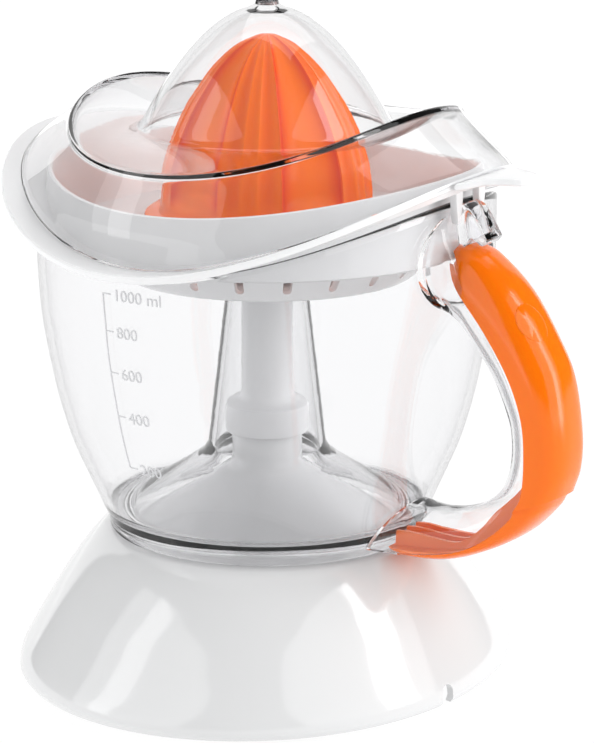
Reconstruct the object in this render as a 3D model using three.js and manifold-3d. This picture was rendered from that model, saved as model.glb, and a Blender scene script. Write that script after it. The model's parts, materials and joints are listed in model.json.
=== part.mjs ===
// Electric citrus press juicer: motor base, clear measuring jug, strainer, reamer cone and domed cover.
// Millimetres, +Z up. The handle points along +X and Z = 0 is the surface that the rubber feet stand on.
// Every piece is drawn about the upright axis of the drive. The whole is then moved along X, so that the
// origin lies under the middle of its length.
import * as THREE from 'three';
import { mergeVertices } from 'three/addons/utils/BufferGeometryUtils.js';
import Module from 'manifold-3d';

const wasm = await Module();
wasm.setup();
const { Manifold } = wasm;

// Driving dimensions shared by several pieces
const gap = 0.3; // between two pieces that touch
const runClearance = 0.35; // round a turning or sliding piece
const overrun = 1; // how far every cutter reaches past what it cuts
const filletStep = 1; // small roundings of moulded edges

// Motor base
const footHeight = 3.7;
const footRadius = 8;
const skirtBottom = 1.5;
const skirtSemiX = 82;
const skirtSemiY = 93;
const deckRadius = 55;
const deckHeight = 49;
const baseWall = 2.5;
const baseConeRadius = 46;
const baseConeRise = 18;
const bossRadius = 12;
const bossTop = 84.5;
const baseOutlineShares = [
  [1, 0], [1, 0.07], [0.93, 0.19], [0.75, 0.41], [0.52, 0.65], [0.33, 0.82], [0.14, 0.95], [0, 1],
];
const notchAngle = (-8 * Math.PI) / 180;
const notchWidth = 5.6;
const notchHeight = 7;
const notchDepth = 20;

// Underside
const plateBottom = 13.5;
const plateThickness = 2.5;
const plateSocketHeight = 6;
const drumRadius = 42;
const drumWall = 2.2;
const drumBottom = 4.5;
const lugReach = 12;
const lugWidth = 16;
const lugThickness = 2;
const lugCount = 4;
const footX = 44;
const footY = 54;
const footPostRadius = 9;
const screwX = 62;
const screwY = 27;
const screwRadius = 1.5;
const screwHeadRadius = 3.2;
const screwHeadHeight = 2;
const screwGrip = 12;
const postRadius = 4.6;
const glandX = 40;
const glandY = 30;
const glandRadius = 4.6;
const glandBore = 2.4;
const glandLip = 1.4;
const glandLipRadius = 6.4;

// Drive train
const toothModule = 1.25;
const motorTeeth = 8;
const wheelTeeth = 32;
const pinionTeeth = 10;
const outputTeeth = 35;
const toothAddendumShare = 0.9; // of the module
const toothDedendumShare = 1.2; // of the module
const toothRootShare = 0.34; // of the pitch, from the middle of the tooth
const toothTipShare = 0.11; // of the pitch
const wheelThickness = 3.5;
const outputThickness = 6;
const outputBottom = 32;
const gearLayerGap = 1.6;
const windowCount = 6;
const motorAxisY = -46;
const motorRadius = 17.5;
const motorHeight = 17;
const motorWall = 1.2;
const motorPlateThickness = 1.3;
const motorShaftRadius = 1.5;
const coilThickness = 4;
const rotorRadius = 9.5;
const motorScrewX = 12;
const motorScrewRadius = 1.2;
const idlerPinRadius = 2;
const idlerPostRadius = 5;
const rodAcrossFlats = 6;
const journalRadius = 6.2;
const journalHeight = 13;
const bushWall = 2.4;
const bushHeight = 6;
const clipThickness = 1;
const clipRadius = 8.4;
const discRadius = 12;
const discThickness = 1.7;
const pressTravel = 2.5;
const springWire = 1.2;
const springRadius = 6.3;
const springTurns = 5;
const springStepsPerTurn = 8;
const switchLength = 20;
const switchWidth = 6.4;
const switchHeight = 10;
const buttonRadius = 1.5;
const buttonReach = 9.7;
const buttonDepth = 5;

// Drive shaft
const collarRadius = 14.3;
const collarWall = 1.4;
const collarBottom = 81.5;
const collarHeight = 10;
const collarChamfer = 3.5;
const stemRadius = 9;
const stemTop = 158;
const tipAcrossFlats = 11.4;
const tipHeight = 27;
const dogHeight = 9;

// Jug
const jugWall = 2.5;
const jugFootRadius = 54;
const jugFootWidth = 5;
const jugFootHeight = 4;
const jugRimRadius = 77.8;
const jugRimOval = 2;
const jugRimHeight = 160;
const jugRimWave = 9.6;
const jugOutlineShares = [
  [0, 0.03], [0.1, 0.07], [0.235, 0.14], [0.5, 0.27], [0.76, 0.47],
  [0.92, 0.65], [0.975, 0.77], [0.995, 0.86],
];
const jugFloorEdge = 7;
const jugFloorRise = 18;
const tubeFootRadius = 20;
const tubeTopRadius = 12.9;
const tubeTop = 136.8;
const tubeWall = 2;
const spoutReach = 7;
const spoutHalfAngle = 0.38;
const spoutDepthShare = 0.8; // of the jug's height, where the spout starts

// Handle
const handleReach = 107.3;
const handleTop = 150;
const handleBottom = 52.6;
const handlePathShares = [ // how far out from the jug towards the handle's reach, how far up
  [0.114, 1], [0.3, 0.9], [0.559, 0.806], [0.834, 0.663], [0.969, 0.527], [1, 0.39],
  [0.966, 0.268], [0.859, 0.165], [0.687, 0.085], [0.4785, 0.035], [0.232, 0.008], [0.0844, 0],
];
const spineThickness = 9.5;
const spineHalfWidth = 9;
const spineRootHalfWidth = 17;
const neckHeight = 19;
const neckReach = 9.6;
const neckTipShare = 0.45; // of the neck's height, at its outer end
const neckBendShare = 0.75; // of the neck's height, where it leaves the jug's rim
const toeHeightShare = 0.85; // of the neck's height
const rootShares = [ // how far out from the wall, width, drop below the handle's top
  [-2.5, 1, 1], [0.2, 1, 1], [0.45, 0.75, 0.9], [0.75, 0.6, 0.8], [1.05, 0.5, 0.65],
];
const gripThickness = 12;
const gripEndThickness = 5.5;
const gripHalfWidth = 12.4;
const gripCorner = 6;
const gripCornerShare = 0.8; // of the grip's thickness, at most
const gripTaperShare = 0.72; // of the path, where the grip starts to thin
const gripWall = 2.2;
const gripStations = 14;
const cornerSteps = 2;
const ribThickness = 1.8;
const ribCount = 3;
const ribSpreadShare = 0.62; // of the hollow's half width
const badgeSemiLong = 7;
const badgeSemiShort = 5;
const badgeDepth = 1.2;
const badgePathShare = 0.2;
const badgeTurn = -0.75;

// Strainer
const basketRadius = 50;
const basketFloorBottom = 138;
const basketFloor = 2.2;
const basketTopRadius = 56;
const basketTop = 149.5;
const shelfHeight = 152;
const collarRimRadius = 72;
const strainerWall = 2;
const flangeRadius = 88.6;
const flangeHeight = 165.5;
const flangeWave = 12.5;
const flangeEdgeLift = 0.9;
const flangeEdgeWave = 1;
const flangeLip = 4;
const collarLowSide = 16.5;
const collarHighSide = 0.6;
const strainerHubRadius = 12;
const strainerHubTop = 151;
const slotCount = 22;
const slotWidth = 2.7;
const slotBottom = 141.2;
const slotTop = 148.6;
const clipLugSpread = 7;
const clipLugWidth = 3.2;
const clipLugDepth = 3.4;
const clipLugDrop = 9;
const clipLugTipShare = 0.6; // of the lug's width and depth
const wingReach = 101.8;
const wingRootHalf = 15;
const wingBendShare = 0.55; // of the way out to the tip
const wingBendHalf = 8.1;
const wingTipHalf = 6;
const wingCornerHalf = 4.2;
const wingThickness = 2.6;

// Reamer cone
const coneRadius = 35.7;
const coneBase = 158;
const coneTop = 216.7;
const coneWall = 2.4;
const coneFlangeRadius = 41;
const coneFlangeThickness = 2.2;
const coneSkirtRadius = 39;
const coneSkirtDrop = 11;
const coneHubWall = 3;
const coneGroups = 5; // of sharp ribs, with a smooth scooped panel between each two
const coneGroupTurn = -65.5; // degrees from the handle to the middle of one group
const conePanelDepth = 3;
const coneCutShares = [0.05, 0.4, 0, 0.85, 1, 0.85, 0, 0.4]; // round one group, from its middle
const conePanelFootShare = 0.08; // of the cone's height, where the panels start
const conePanelFadeShare = 0.12; // of the cone's height, over which they sink in and run out again
const coneOutlineShares = [
  [1, 0], [0.995, 0.13], [0.965, 0.28], [0.9, 0.41], [0.8, 0.55],
  [0.67, 0.68], [0.5, 0.82], [0.3, 0.93], [0.14, 0.98], [0, 1],
];

// Cover
const coverWall = 2.2;
const coverEdgeRadius = 82;
const ridgeRadius = 66.3;
const ridgeOval = 6;
const ridgeRise = 24.8; // over the strainer's flange
const ridgeWave = 7.6;
const domeRadius = 42.3;
const domeFootDrop = 3.3; // below the ridge
const domeRise = 40;
const domeSteps = 6;
const domeWallShare = 0.85; // of the cover's wall, measured straight down
const knobRadius = 4;
const knobHeight = 2.2;

// Fineness of round forms
const bigSides = 28;
const midSides = 20;
const smallSides = 10;
const fewSides = 8;
const wireSides = 4;

const v2 = (x, y) => new THREE.Vector2(x, y);
const v3 = (x, y, z) => new THREE.Vector3(x, y, z);

// Merge, drop triangles of no area and turn the faces outwards
function closedGeometry(source) {
  const bare = source.clone();
  bare.deleteAttribute('normal');
  bare.deleteAttribute('uv');
  const merged = mergeVertices(bare);
  const position = merged.attributes.position;
  const index = merged.index.array;
  const kept = [];
  let volume = 0;
  const [a, b, c] = [v3(), v3(), v3()];
  for (let i = 0; i < index.length; i += 3) {
    const [p, q, r] = [index[i], index[i + 1], index[i + 2]];
    if (p === q || q === r || r === p) continue;
    kept.push([p, q, r]);
    a.fromBufferAttribute(position, p);
    b.fromBufferAttribute(position, q);
    c.fromBufferAttribute(position, r);
    volume += a.dot(b.cross(c));
  }
  merged.setIndex((volume < 0 ? kept.map(([p, q, r]) => [p, r, q]) : kept).flat());
  return merged;
}

function toSolid(geometry) {
  const closed = closedGeometry(geometry);
  return new Manifold(new wasm.Mesh({
    numProp: 3,
    vertProperties: new Float32Array(closed.attributes.position.array),
    triVerts: new Uint32Array(closed.index.array),
  }));
}

function toGeometry(solid) {
  const mesh = solid.getMesh();
  const geometry = new THREE.BufferGeometry();
  geometry.setAttribute('position', new THREE.BufferAttribute(new Float32Array(mesh.vertProperties), 3));
  geometry.setIndex(Array.from(mesh.triVerts));
  geometry.computeVertexNormals();
  return geometry;
}

const union = (first, ...rest) => rest.reduce((sum, next) => sum.add(next), first);
const cut = (first, ...rest) => rest.reduce((left, tool) => left.subtract(tool), first);
const largest = (solid) => solid.decompose().sort((a, b) => b.volume() - a.volume())[0];

// Full turn of a profile of [radius, height] points, about an upright axis at x, y
function turned(profile, sides = midSides, x = 0, y = 0) {
  const closesOnItself = profile[0][0] > 0;
  const points = profile.map(([r, z]) => v2(r, z));
  if (closesOnItself) points.push(points[0].clone());
  const geometry = new THREE.LatheGeometry(points, sides);
  geometry.rotateX(Math.PI / 2);
  return toSolid(geometry.translate(x, y, 0));
}

function rod(radius, low, high, x = 0, y = 0, sides = smallSides) {
  return turned([[0, low], [radius, low], [radius, high], [0, high]], sides, x, y);
}

function tube(inner, outer, low, high, x = 0, y = 0, sides = smallSides) {
  return turned([[inner, low], [outer, low], [outer, high], [inner, high]], sides, x, y);
}

function hexRod(acrossFlats, low, high) {
  return rod(acrossFlats / 2 / Math.cos(Math.PI / 6), low, high, 0, 0, 6);
}

function block(sizeX, sizeY, low, high, x = 0, y = 0, turn = 0) {
  const geometry = new THREE.BoxGeometry(sizeX, sizeY, high - low);
  geometry.translate(x, y, (low + high) / 2);
  return toSolid(geometry.rotateZ(turn));
}

// A skin that goes round the axis: profileAt(angle) lists the same number of [radius, height] points
// at every angle. It closes on itself, or starts and ends on the axis where the radius is zero.
function around(profileAt, sides = bigSides) {
  const rings = [];
  for (let i = 0; i < sides; i++) {
    const angle = (2 * Math.PI * i) / sides;
    rings.push(profileAt(angle).map(([r, z]) => v3(r * Math.cos(angle), r * Math.sin(angle), z)));
  }
  const count = rings[0].length;
  const onAxis = rings[0][0].x === 0 && rings[0][0].y === 0;
  const positions = rings.flat().flatMap((p) => [p.x, p.y, p.z]);
  const index = [];
  for (let i = 0; i < sides; i++) {
    const next = (i + 1) % sides;
    for (let j = 0; j < (onAxis ? count - 1 : count); j++) {
      const k = (j + 1) % count;
      const [a, b, c, d] = [i * count + j, next * count + j, next * count + k, i * count + k];
      index.push(a, b, c, a, c, d);
    }
  }
  const geometry = new THREE.BufferGeometry();
  geometry.setAttribute('position', new THREE.Float32BufferAttribute(positions, 3));
  geometry.setIndex(index);
  return toSolid(geometry);
}

// Solid through a row of closed sections, with flat ends
function loft(sections) {
  const count = sections[0].length;
  const positions = sections.flat().flatMap((p) => [p.x, p.y, p.z]);
  const index = [];
  for (let i = 0; i + 1 < sections.length; i++) {
    for (let j = 0; j < count; j++) {
      const k = (j + 1) % count;
      const [a, b] = [i * count + j, i * count + k];
      index.push(a, b, b + count, a, b + count, a + count);
    }
  }
  const last = (sections.length - 1) * count;
  const faces = THREE.ShapeUtils.triangulateShape(flatten(sections[0]), []);
  const endFaces = THREE.ShapeUtils.triangulateShape(flatten(sections.at(-1)), []);
  for (const [a, b, c] of faces) index.push(a, c, b);
  for (const [a, b, c] of endFaces) index.push(last + a, last + b, last + c);
  const geometry = new THREE.BufferGeometry();
  geometry.setAttribute('position', new THREE.Float32BufferAttribute(positions, 3));
  geometry.setIndex(index);
  return toSolid(geometry);
}

// A planar section in its own plane, for filling its end
function flatten(section) {
  const origin = section[0];
  const along = section[1].clone().sub(origin).normalize();
  let normal = v3();
  for (let i = 1; i + 1 < section.length; i++) {
    const a = section[i].clone().sub(origin);
    const b = section[i + 1].clone().sub(origin);
    normal.add(a.cross(b));
  }
  normal.normalize();
  const across = normal.clone().cross(along);
  return section.map((p) => {
    const d = p.clone().sub(origin);
    return v2(d.dot(along), d.dot(across));
  });
}

const mix = (low, high, share) => low + (high - low) * share;
const twice = (angle) => Math.cos(2 * angle); // +1 towards the handle and the spout, -1 at the sides
const ease = (share) => share * share * (3 - 2 * share);
const everySecond = (list) => list.filter((_, i) => i % 2 === 0);

const pieces = new THREE.Group();

function add(name, solid, colour, roughness = 0.4, metalness = 0, opacity = 1) {
  const material = new THREE.MeshStandardMaterial({
    color: colour,
    roughness,
    metalness,
    opacity,
    transparent: opacity < 1,
  });
  const mesh = new THREE.Mesh(toGeometry(solid), material);
  mesh.name = name;
  pieces.add(mesh);
}

const white = '#f2f2f2';
const orange = '#ff8a10';
const clear = '#eef3f5';
const steel = '#b9bcc0';
const nylon = '#e6e2d6';
const rubber = '#33343a';
const brass = '#c09a52';
const copper = '#b5652e';
const darkPlastic = '#2f3135';
const red = '#c43a2c';

// Sizes of the base at a height: the skirt is oval and the deck is round
const skirtSpan = deckHeight - skirtBottom;
const outlineHeights = baseOutlineShares.map(([, h]) => skirtBottom + h * skirtSpan);
const basePoint = ([radial], angle) => {
  const skirt = 1 / Math.hypot(Math.cos(angle) / skirtSemiX, Math.sin(angle) / skirtSemiY);
  return mix(deckRadius, skirt, radial);
};
const baseRadiusAt = (height, angle) => {
  const i = Math.max(0, outlineHeights.findIndex((z) => z >= height) - 1);
  const share = (height - outlineHeights[i]) / (outlineHeights[i + 1] - outlineHeights[i]);
  return mix(basePoint(baseOutlineShares[i], angle), basePoint(baseOutlineShares[i + 1], angle), share);
};
const plateTop = plateBottom + plateThickness;
const bossShoulder = deckHeight + baseConeRise;
const bushSeatBottom = outputBottom + outputThickness + wheelThickness + 2 * gearLayerGap;
const bushOuter = journalRadius + runClearance + bushWall;
const topBushInner = rodAcrossFlats / 2 / Math.cos(Math.PI / 6) + runClearance;
const topBushOuter = topBushInner + bushWall;

const corners = [[1, 1], [-1, 1], [-1, -1], [1, -1]];
const gearCentre = (toothModule * (pinionTeeth + outputTeeth)) / 2;
const motorCentre = (toothModule * (motorTeeth + wheelTeeth)) / 2;
const motorDistance = Math.abs(motorAxisY);
const idlerAlong = (motorDistance ** 2 + gearCentre ** 2 - motorCentre ** 2) / (2 * motorDistance);
const idlerY = Math.sign(motorAxisY) * idlerAlong;
const idlerX = -Math.sqrt(gearCentre ** 2 - idlerAlong ** 2);

// Base housing: oval skirt, round deck, drip cone and boss, with screw posts and bearing seats inside
function baseHousing() {
  const shell = around((angle) => {
    const outer = baseOutlineShares.map((p, i) => [basePoint(p, angle), outlineHeights[i]]);
    const inner = everySecond(outer)
      .map(([r, z], i) => [r - baseWall, i ? z - baseWall / 3 : z])
      .reverse();
    return [
      ...outer,
      [baseConeRadius, deckHeight],
      [bossRadius + filletStep * 3, bossShoulder],
      [bossRadius, bossShoulder + filletStep * 2],
      [bossRadius, bossTop - filletStep],
      [bossRadius - filletStep, bossTop],
      [topBushOuter + gap, bossTop],
      [topBushOuter + gap, bossTop - bushHeight - gap],
      [topBushOuter - filletStep, bossTop - bushHeight - gap],
      [topBushOuter - filletStep, bossTop - bushHeight - baseWall],
      [bossRadius - baseWall, bossTop - bushHeight - baseWall * 2],
      [bossRadius - baseWall, bossShoulder],
      [baseConeRadius - baseWall, deckHeight - baseWall],
      ...inner,
    ];
  });
  // What stands inside the skin ends halfway through it
  const insideSkin = around((angle) => [
    [0, skirtBottom],
    ...outlineHeights.map((z, i) => [
      basePoint(baseOutlineShares[i], angle) - baseWall / 2,
      z - baseWall / 3,
    ]),
    [baseConeRadius, deckHeight - baseWall / 2],
    [bossRadius, bossShoulder - baseWall / 2],
    [0, bossShoulder - baseWall / 2],
  ]);
  const bushSeat = tube(
    bushOuter + gap, bushOuter + baseWall, bushSeatBottom, bossShoulder, 0, 0, midSides,
  );
  const wheelRoom = rod(
    (toothModule * wheelTeeth) / 2 + 3 * toothModule,
    plateTop, bushSeatBottom + gearLayerGap, idlerX, idlerY, midSides,
  );
  const ribs = corners.map((_, i) => {
    const reach = baseConeRadius - bushOuter - baseWall;
    const turn = (Math.PI / 2) * (i + 1 / 2);
    const middle = bushOuter + reach / 2 + filletStep;
    return cut(block(reach, baseWall / 2, bushSeatBottom, bossShoulder, middle, 0, turn), wheelRoom);
  });
  const posts = corners.map(([sx, sy]) => cut(
    rod(postRadius, plateTop + gap, deckHeight, sx * screwX, sy * screwY),
    rod(screwRadius + gap, plateTop, plateTop + screwGrip, sx * screwX, sy * screwY),
  ));
  const pinBoss = cut(
    rod(idlerPinRadius + baseWall, bushSeatBottom - gap, bossShoulder, idlerX, idlerY),
    rod(idlerPinRadius + gap, bushSeatBottom - overrun, deckHeight, idlerX, idlerY),
  );
  const fittings = union(bushSeat, ...ribs, ...posts, pinBoss).intersect(insideSkin);
  const notch = block(
    notchDepth, notchWidth, -overrun, skirtBottom + notchHeight, skirtSemiX, 0, notchAngle,
  );
  add('base_housing', cut(union(shell, fittings), notch), white, 0.22);
}

function basePlate() {
  const edge = (angle) => baseRadiusAt(plateTop, angle) - baseWall - filletStep;
  const plate = around((angle) => [
    [0, plateBottom], [edge(angle), plateBottom], [edge(angle), plateTop], [0, plateTop],
  ]);
  const drumTop = plateBottom + filletStep / 2;
  const drum = tube(drumRadius - drumWall, drumRadius, drumBottom, drumTop, 0, 0, bigSides);
  const lugs = [];
  for (let i = 0; i < lugCount; i++) {
    lugs.push(block(
      lugReach + drumWall, lugWidth, drumBottom, drumBottom + lugThickness,
      drumRadius + (lugReach - drumWall) / 2, 0, (2 * Math.PI * i) / lugCount,
    ));
  }
  const socket = tube(
    topBushInner, topBushInner + bushWall / 2, plateTop - filletStep / 2, plateTop + plateSocketHeight,
  );
  const footPosts = corners.map(([sx, sy]) => rod(
    footPostRadius, footHeight + gap, plateBottom + filletStep / 2, sx * footX, sy * footY,
  ));
  const idlerPost = rod(
    idlerPostRadius, plateTop - filletStep / 2, outputBottom - gap, idlerX, idlerY,
  );
  const through = (r, x, y) => rod(r, drumBottom, plateTop + overrun, x, y);
  const holes = [
    ...corners.map(([sx, sy]) => through(screwRadius + gap, sx * screwX, sy * screwY)),
    through(glandRadius + gap, glandX, glandY),
    through(motorScrewRadius + gap, motorScrewX, motorAxisY),
    through(motorScrewRadius + gap, -motorScrewX, motorAxisY),
    rod(idlerPinRadius + gap, plateTop + filletStep, outputBottom + overrun, idlerX, idlerY),
  ];
  const solid = union(plate, drum, ...lugs, socket, ...footPosts, idlerPost);
  add('base_plate', cut(solid, ...holes), white, 0.45);

  const gland = union(
    tube(glandBore, glandRadius, plateBottom - glandLip, plateTop + gap + glandLip, glandX, glandY),
    tube(glandBore, glandLipRadius, plateBottom - gap - glandLip, plateBottom - gap, glandX, glandY),
    tube(glandBore, glandLipRadius, plateTop + gap, plateTop + gap + glandLip, glandX, glandY),
  );
  add('cord_gland', gland, rubber, 0.8);
}

function screw(name, radius, x, y, shankTop) {
  const top = plateBottom - gap;
  const profile = [
    [0, top - screwHeadHeight], [screwHeadRadius, top - screwHeadHeight], [screwHeadRadius, top],
    [radius, top], [radius, shankTop], [0, shankTop],
  ];
  add(name, turned(profile, fewSides, x, y), steel, 0.35, 1);
}

function feetAndScrews() {
  corners.forEach(([sx, sy], i) => {
    const profile = [
      [0, 0],
      [footRadius - filletStep, 0],
      [footRadius, filletStep],
      [footRadius, footHeight],
      [0, footHeight],
    ];
    const foot = turned(profile, smallSides, sx * footX, sy * footY);
    add(`rubber_foot_${i + 1}`, foot, rubber, 0.85);
  });
  corners.forEach(([sx, sy], i) => {
    screw(`base_screw_${i + 1}`, screwRadius, sx * screwX, sy * screwY, plateTop + screwGrip - gap);
  });
}

// Spur gear outline with straight-flanked teeth, extruded between two heights
function gear(teeth, low, high, firstTooth = 0) {
  const pitchRadius = (toothModule * teeth) / 2;
  const tip = pitchRadius + toothModule * toothAddendumShare;
  const root = pitchRadius - toothModule * toothDedendumShare;
  const pitch = (2 * Math.PI) / teeth;
  const flankShares = [[root, toothRootShare], [tip, toothTipShare]];
  const points = [];
  for (let i = 0; i < teeth; i++) {
    const middle = firstTooth + i * pitch;
    for (const [r, share] of flankShares) points.push([r, middle - share * pitch]);
    for (const [r, share] of [...flankShares].reverse()) points.push([r, middle + share * pitch]);
  }
  const shape = new THREE.Shape(points.map(([r, a]) => v2(r * Math.cos(a), r * Math.sin(a))));
  const geometry = new THREE.ExtrudeGeometry(shape, { depth: high - low, bevelEnabled: false });
  return toSolid(geometry.translate(0, 0, low));
}

const wheelBottom = outputBottom + outputThickness + gearLayerGap;
const wheelTop = wheelBottom + wheelThickness;
const motorBase = plateTop + gap;
const canBottom = motorBase + motorPlateThickness + gap;
const canTop = canBottom + motorHeight;
const holeFor = (radius, low, high) => rod(radius, low - overrun, high + overrun);

function motor() {
  const bodyTop = canTop - motorWall - gap;
  const can = cut(
    rod(motorRadius, canBottom, canTop, 0, 0, midSides),
    rod(motorRadius - motorWall, canBottom - overrun, canTop - motorWall, 0, 0, midSides),
    holeFor(motorShaftRadius + gap, canBottom, canTop),
  );
  const plate = cut(
    rod(motorRadius, motorBase, motorBase + motorPlateThickness, 0, 0, midSides),
    holeFor(motorShaftRadius + gap, motorBase, canBottom),
    holeFor(motorScrewRadius + gap, motorBase, canBottom).translate([motorScrewX, 0, 0]),
    holeFor(motorScrewRadius + gap, motorBase, canBottom).translate([-motorScrewX, 0, 0]),
  );
  const coilOuter = motorRadius - motorWall - gap;
  const coil = tube(coilOuter - coilThickness, coilOuter, canBottom + gap, bodyTop, 0, 0, midSides);
  const rotor = cut(
    rod(rotorRadius, canBottom + filletStep, bodyTop - filletStep, 0, 0, midSides),
    holeFor(motorShaftRadius + gap, canBottom, bodyTop),
  );
  const shaft = rod(motorShaftRadius, motorBase + gap, wheelTop + filletStep / 2);
  const mesh = Math.atan2(idlerY - motorAxisY, idlerX);
  const pinion = cut(
    gear(motorTeeth, wheelBottom - filletStep / 2, wheelTop, mesh),
    holeFor(motorShaftRadius + gap, wheelBottom, wheelTop),
  );
  const place = (solid) => solid.translate([0, motorAxisY, 0]);
  add('motor_can', place(can), steel, 0.4, 1);
  add('motor_end_plate', place(plate), steel, 0.4, 1);
  add('motor_coil', place(coil), copper, 0.4, 1);
  add('motor_rotor', place(rotor), darkPlastic, 0.5);
  add('motor_shaft', place(shaft), steel, 0.3, 1);
  add('motor_pinion', place(pinion), brass, 0.35, 1);
  [1, -1].forEach((side, i) => {
    const shankTop = motorBase + motorPlateThickness;
    screw(`motor_screw_${i + 1}`, motorScrewRadius, side * motorScrewX, motorAxisY, shankTop);
  });
}

function gearTrain() {
  const towardsMotor = Math.atan2(motorAxisY - idlerY, -idlerX);
  const towardsOutput = Math.atan2(-idlerY, -idlerX);
  const idler = cut(
    union(
      gear(wheelTeeth, wheelBottom, wheelTop, towardsMotor + Math.PI / wheelTeeth),
      gear(pinionTeeth, outputBottom, wheelBottom + filletStep / 2, towardsOutput),
    ),
    holeFor(idlerPinRadius + gap, outputBottom, wheelTop),
  );
  add('idler_gear', idler.translate([idlerX, idlerY, 0]), nylon, 0.5);
  const pin = rod(idlerPinRadius, plateTop + filletStep + gap, deckHeight - baseWall, idlerX, idlerY);
  add('idler_pin', pin, steel, 0.3, 1);

  const outputTop = outputBottom + outputThickness;
  const journalTop = outputTop + journalHeight;
  const facing = Math.atan2(idlerY, idlerX);
  const wheel = union(
    gear(outputTeeth, outputBottom, outputTop, facing + Math.PI / outputTeeth),
    rod(journalRadius, outputTop - filletStep, journalTop, 0, 0, midSides),
  );
  const windows = [];
  const windowMiddle = (journalRadius + (toothModule * outputTeeth) / 2) / 2;
  for (let i = 0; i < windowCount; i++) {
    const window = rod(
      windowMiddle / 4, outputBottom - overrun, outputTop + overrun, windowMiddle, 0, fewSides,
    );
    windows.push(window.rotate([0, 0, (360 / windowCount) * i]));
  }
  const driveBore = hexRod(rodAcrossFlats + 2 * gap, outputBottom - overrun, journalTop + overrun);
  add('output_gear', cut(wheel, driveBore, ...windows), nylon, 0.5);

  const bushTop = bushSeatBottom + bushHeight;
  const gearBush = tube(journalRadius + gap, bushOuter, bushSeatBottom, bushTop, 0, 0, midSides);
  add('gear_bush', gearBush, brass, 0.35, 1);
  const clipBottom = bushTop + gap;
  const clip = tube(
    journalRadius + gap, clipRadius, clipBottom, clipBottom + clipThickness, 0, 0, midSides,
  );
  add('gear_clip', clip, steel, 0.35, 1);
  add('boss_bush', tube(topBushInner, topBushOuter, bossTop - bushHeight, bossTop - gap), brass, 0.35, 1);
}

const discBottom = outputBottom - gap - discThickness;
const rodBottom = plateTop + pressTravel + 2 * gap;
const dogTop = bossTop + pressTravel + dogHeight;

// Everything that sinks when fruit is pressed down on the cone, with its spring and switch
function pressLine() {
  const hexBore = (low, high) => hexRod(rodAcrossFlats + 2 * gap, low, high);
  add('drive_rod', hexRod(rodAcrossFlats, rodBottom, dogTop), steel, 0.3, 1);
  add('thrust_disc', cut(
    rod(discRadius, discBottom, discBottom + discThickness, 0, 0, midSides),
    hexBore(discBottom - overrun, outputBottom + overrun),
  ), nylon, 0.5);

  const socketCeiling = dogTop + gap;
  const collarTop = collarBottom + collarHeight;
  const cupTop = bossTop + pressTravel + gap;
  const stem = turned([
    [0, cupTop], [collarRadius - collarWall, cupTop], [collarRadius - collarWall, collarBottom],
    [collarRadius, collarBottom], [collarRadius, collarTop - filletStep],
    [collarRadius - filletStep, collarTop], [stemRadius + filletStep * 2, collarTop],
    [stemRadius, collarTop + collarChamfer], [stemRadius, stemTop - filletStep],
    [stemRadius - filletStep, stemTop], [0, stemTop],
  ], midSides);
  const shaft = union(stem, hexRod(tipAcrossFlats, stemTop - filletStep, stemTop + tipHeight));
  add('drive_shaft', cut(shaft, hexBore(cupTop - overrun, socketCeiling)), white, 0.3);

  const springTop = discBottom - gap - springWire / 2;
  const springLow = plateTop + gap + springWire / 2;
  const steps = springTurns * springStepsPerTurn;
  const sections = [];
  for (let i = 0; i <= steps; i++) {
    const angle = (2 * Math.PI * i) / springStepsPerTurn;
    const z = mix(springLow, springTop, i / steps);
    const ring = [];
    for (let j = 0; j < wireSides; j++) {
      const turn = (2 * Math.PI * j) / wireSides;
      const r = springRadius + (springWire / 2) * Math.cos(turn);
      ring.push(v3(r * Math.cos(angle), r * Math.sin(angle), z + (springWire / 2) * Math.sin(turn)));
    }
    sections.push(ring);
  }
  add('return_spring', loft(sections), steel, 0.3, 1);

  const switchX = buttonReach + switchLength / 2 - switchWidth / 3;
  const switchTop = plateTop + gap + switchHeight;
  const buttonTop = discBottom - gap;
  const buttonLow = buttonTop - buttonDepth;
  const body = cut(
    block(switchLength, switchWidth, plateTop + gap, switchTop, switchX, 0),
    rod(buttonRadius + gap, buttonLow - pressTravel - gap, switchTop + overrun, buttonReach, 0),
  );
  add('micro_switch', body, darkPlastic, 0.5);
  add('switch_button', rod(buttonRadius, buttonLow, buttonTop, buttonReach, 0), red, 0.45);
}

// Jug
const jugFoot = deckHeight + gap;
const rimHeight = (angle) => jugRimHeight + jugRimWave * twice(angle);
const spoutAt = (angle) => {
  const away = Math.abs(Math.abs(angle - Math.PI)) / spoutHalfAngle;
  return away < 1 ? spoutReach * (1 + Math.cos(Math.PI * away)) / 2 : 0;
};
function jugOuter(angle, grow = 0) {
  const span = jugRimHeight - jugFoot;
  const points = jugOutlineShares.map(([radial, share]) => {
    const oval = jugRimOval * twice(angle) * share;
    const pour = Math.max(0, (share - spoutDepthShare) / (1 - spoutDepthShare));
    const spout = spoutAt(angle) * pour;
    return [mix(jugFootRadius, jugRimRadius, radial) - oval + spout + grow, jugFoot + span * share];
  });
  const rim = jugRimRadius - jugRimOval * twice(angle) + spoutAt(angle) + grow;
  return { points, rim };
}
const tubeRadiusAt = (z) => {
  const low = jugFoot + jugFloorEdge + jugFloorRise;
  return mix(tubeFootRadius, tubeTopRadius, Math.max(0, (z - low) / (tubeTop - low)));
};

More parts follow.
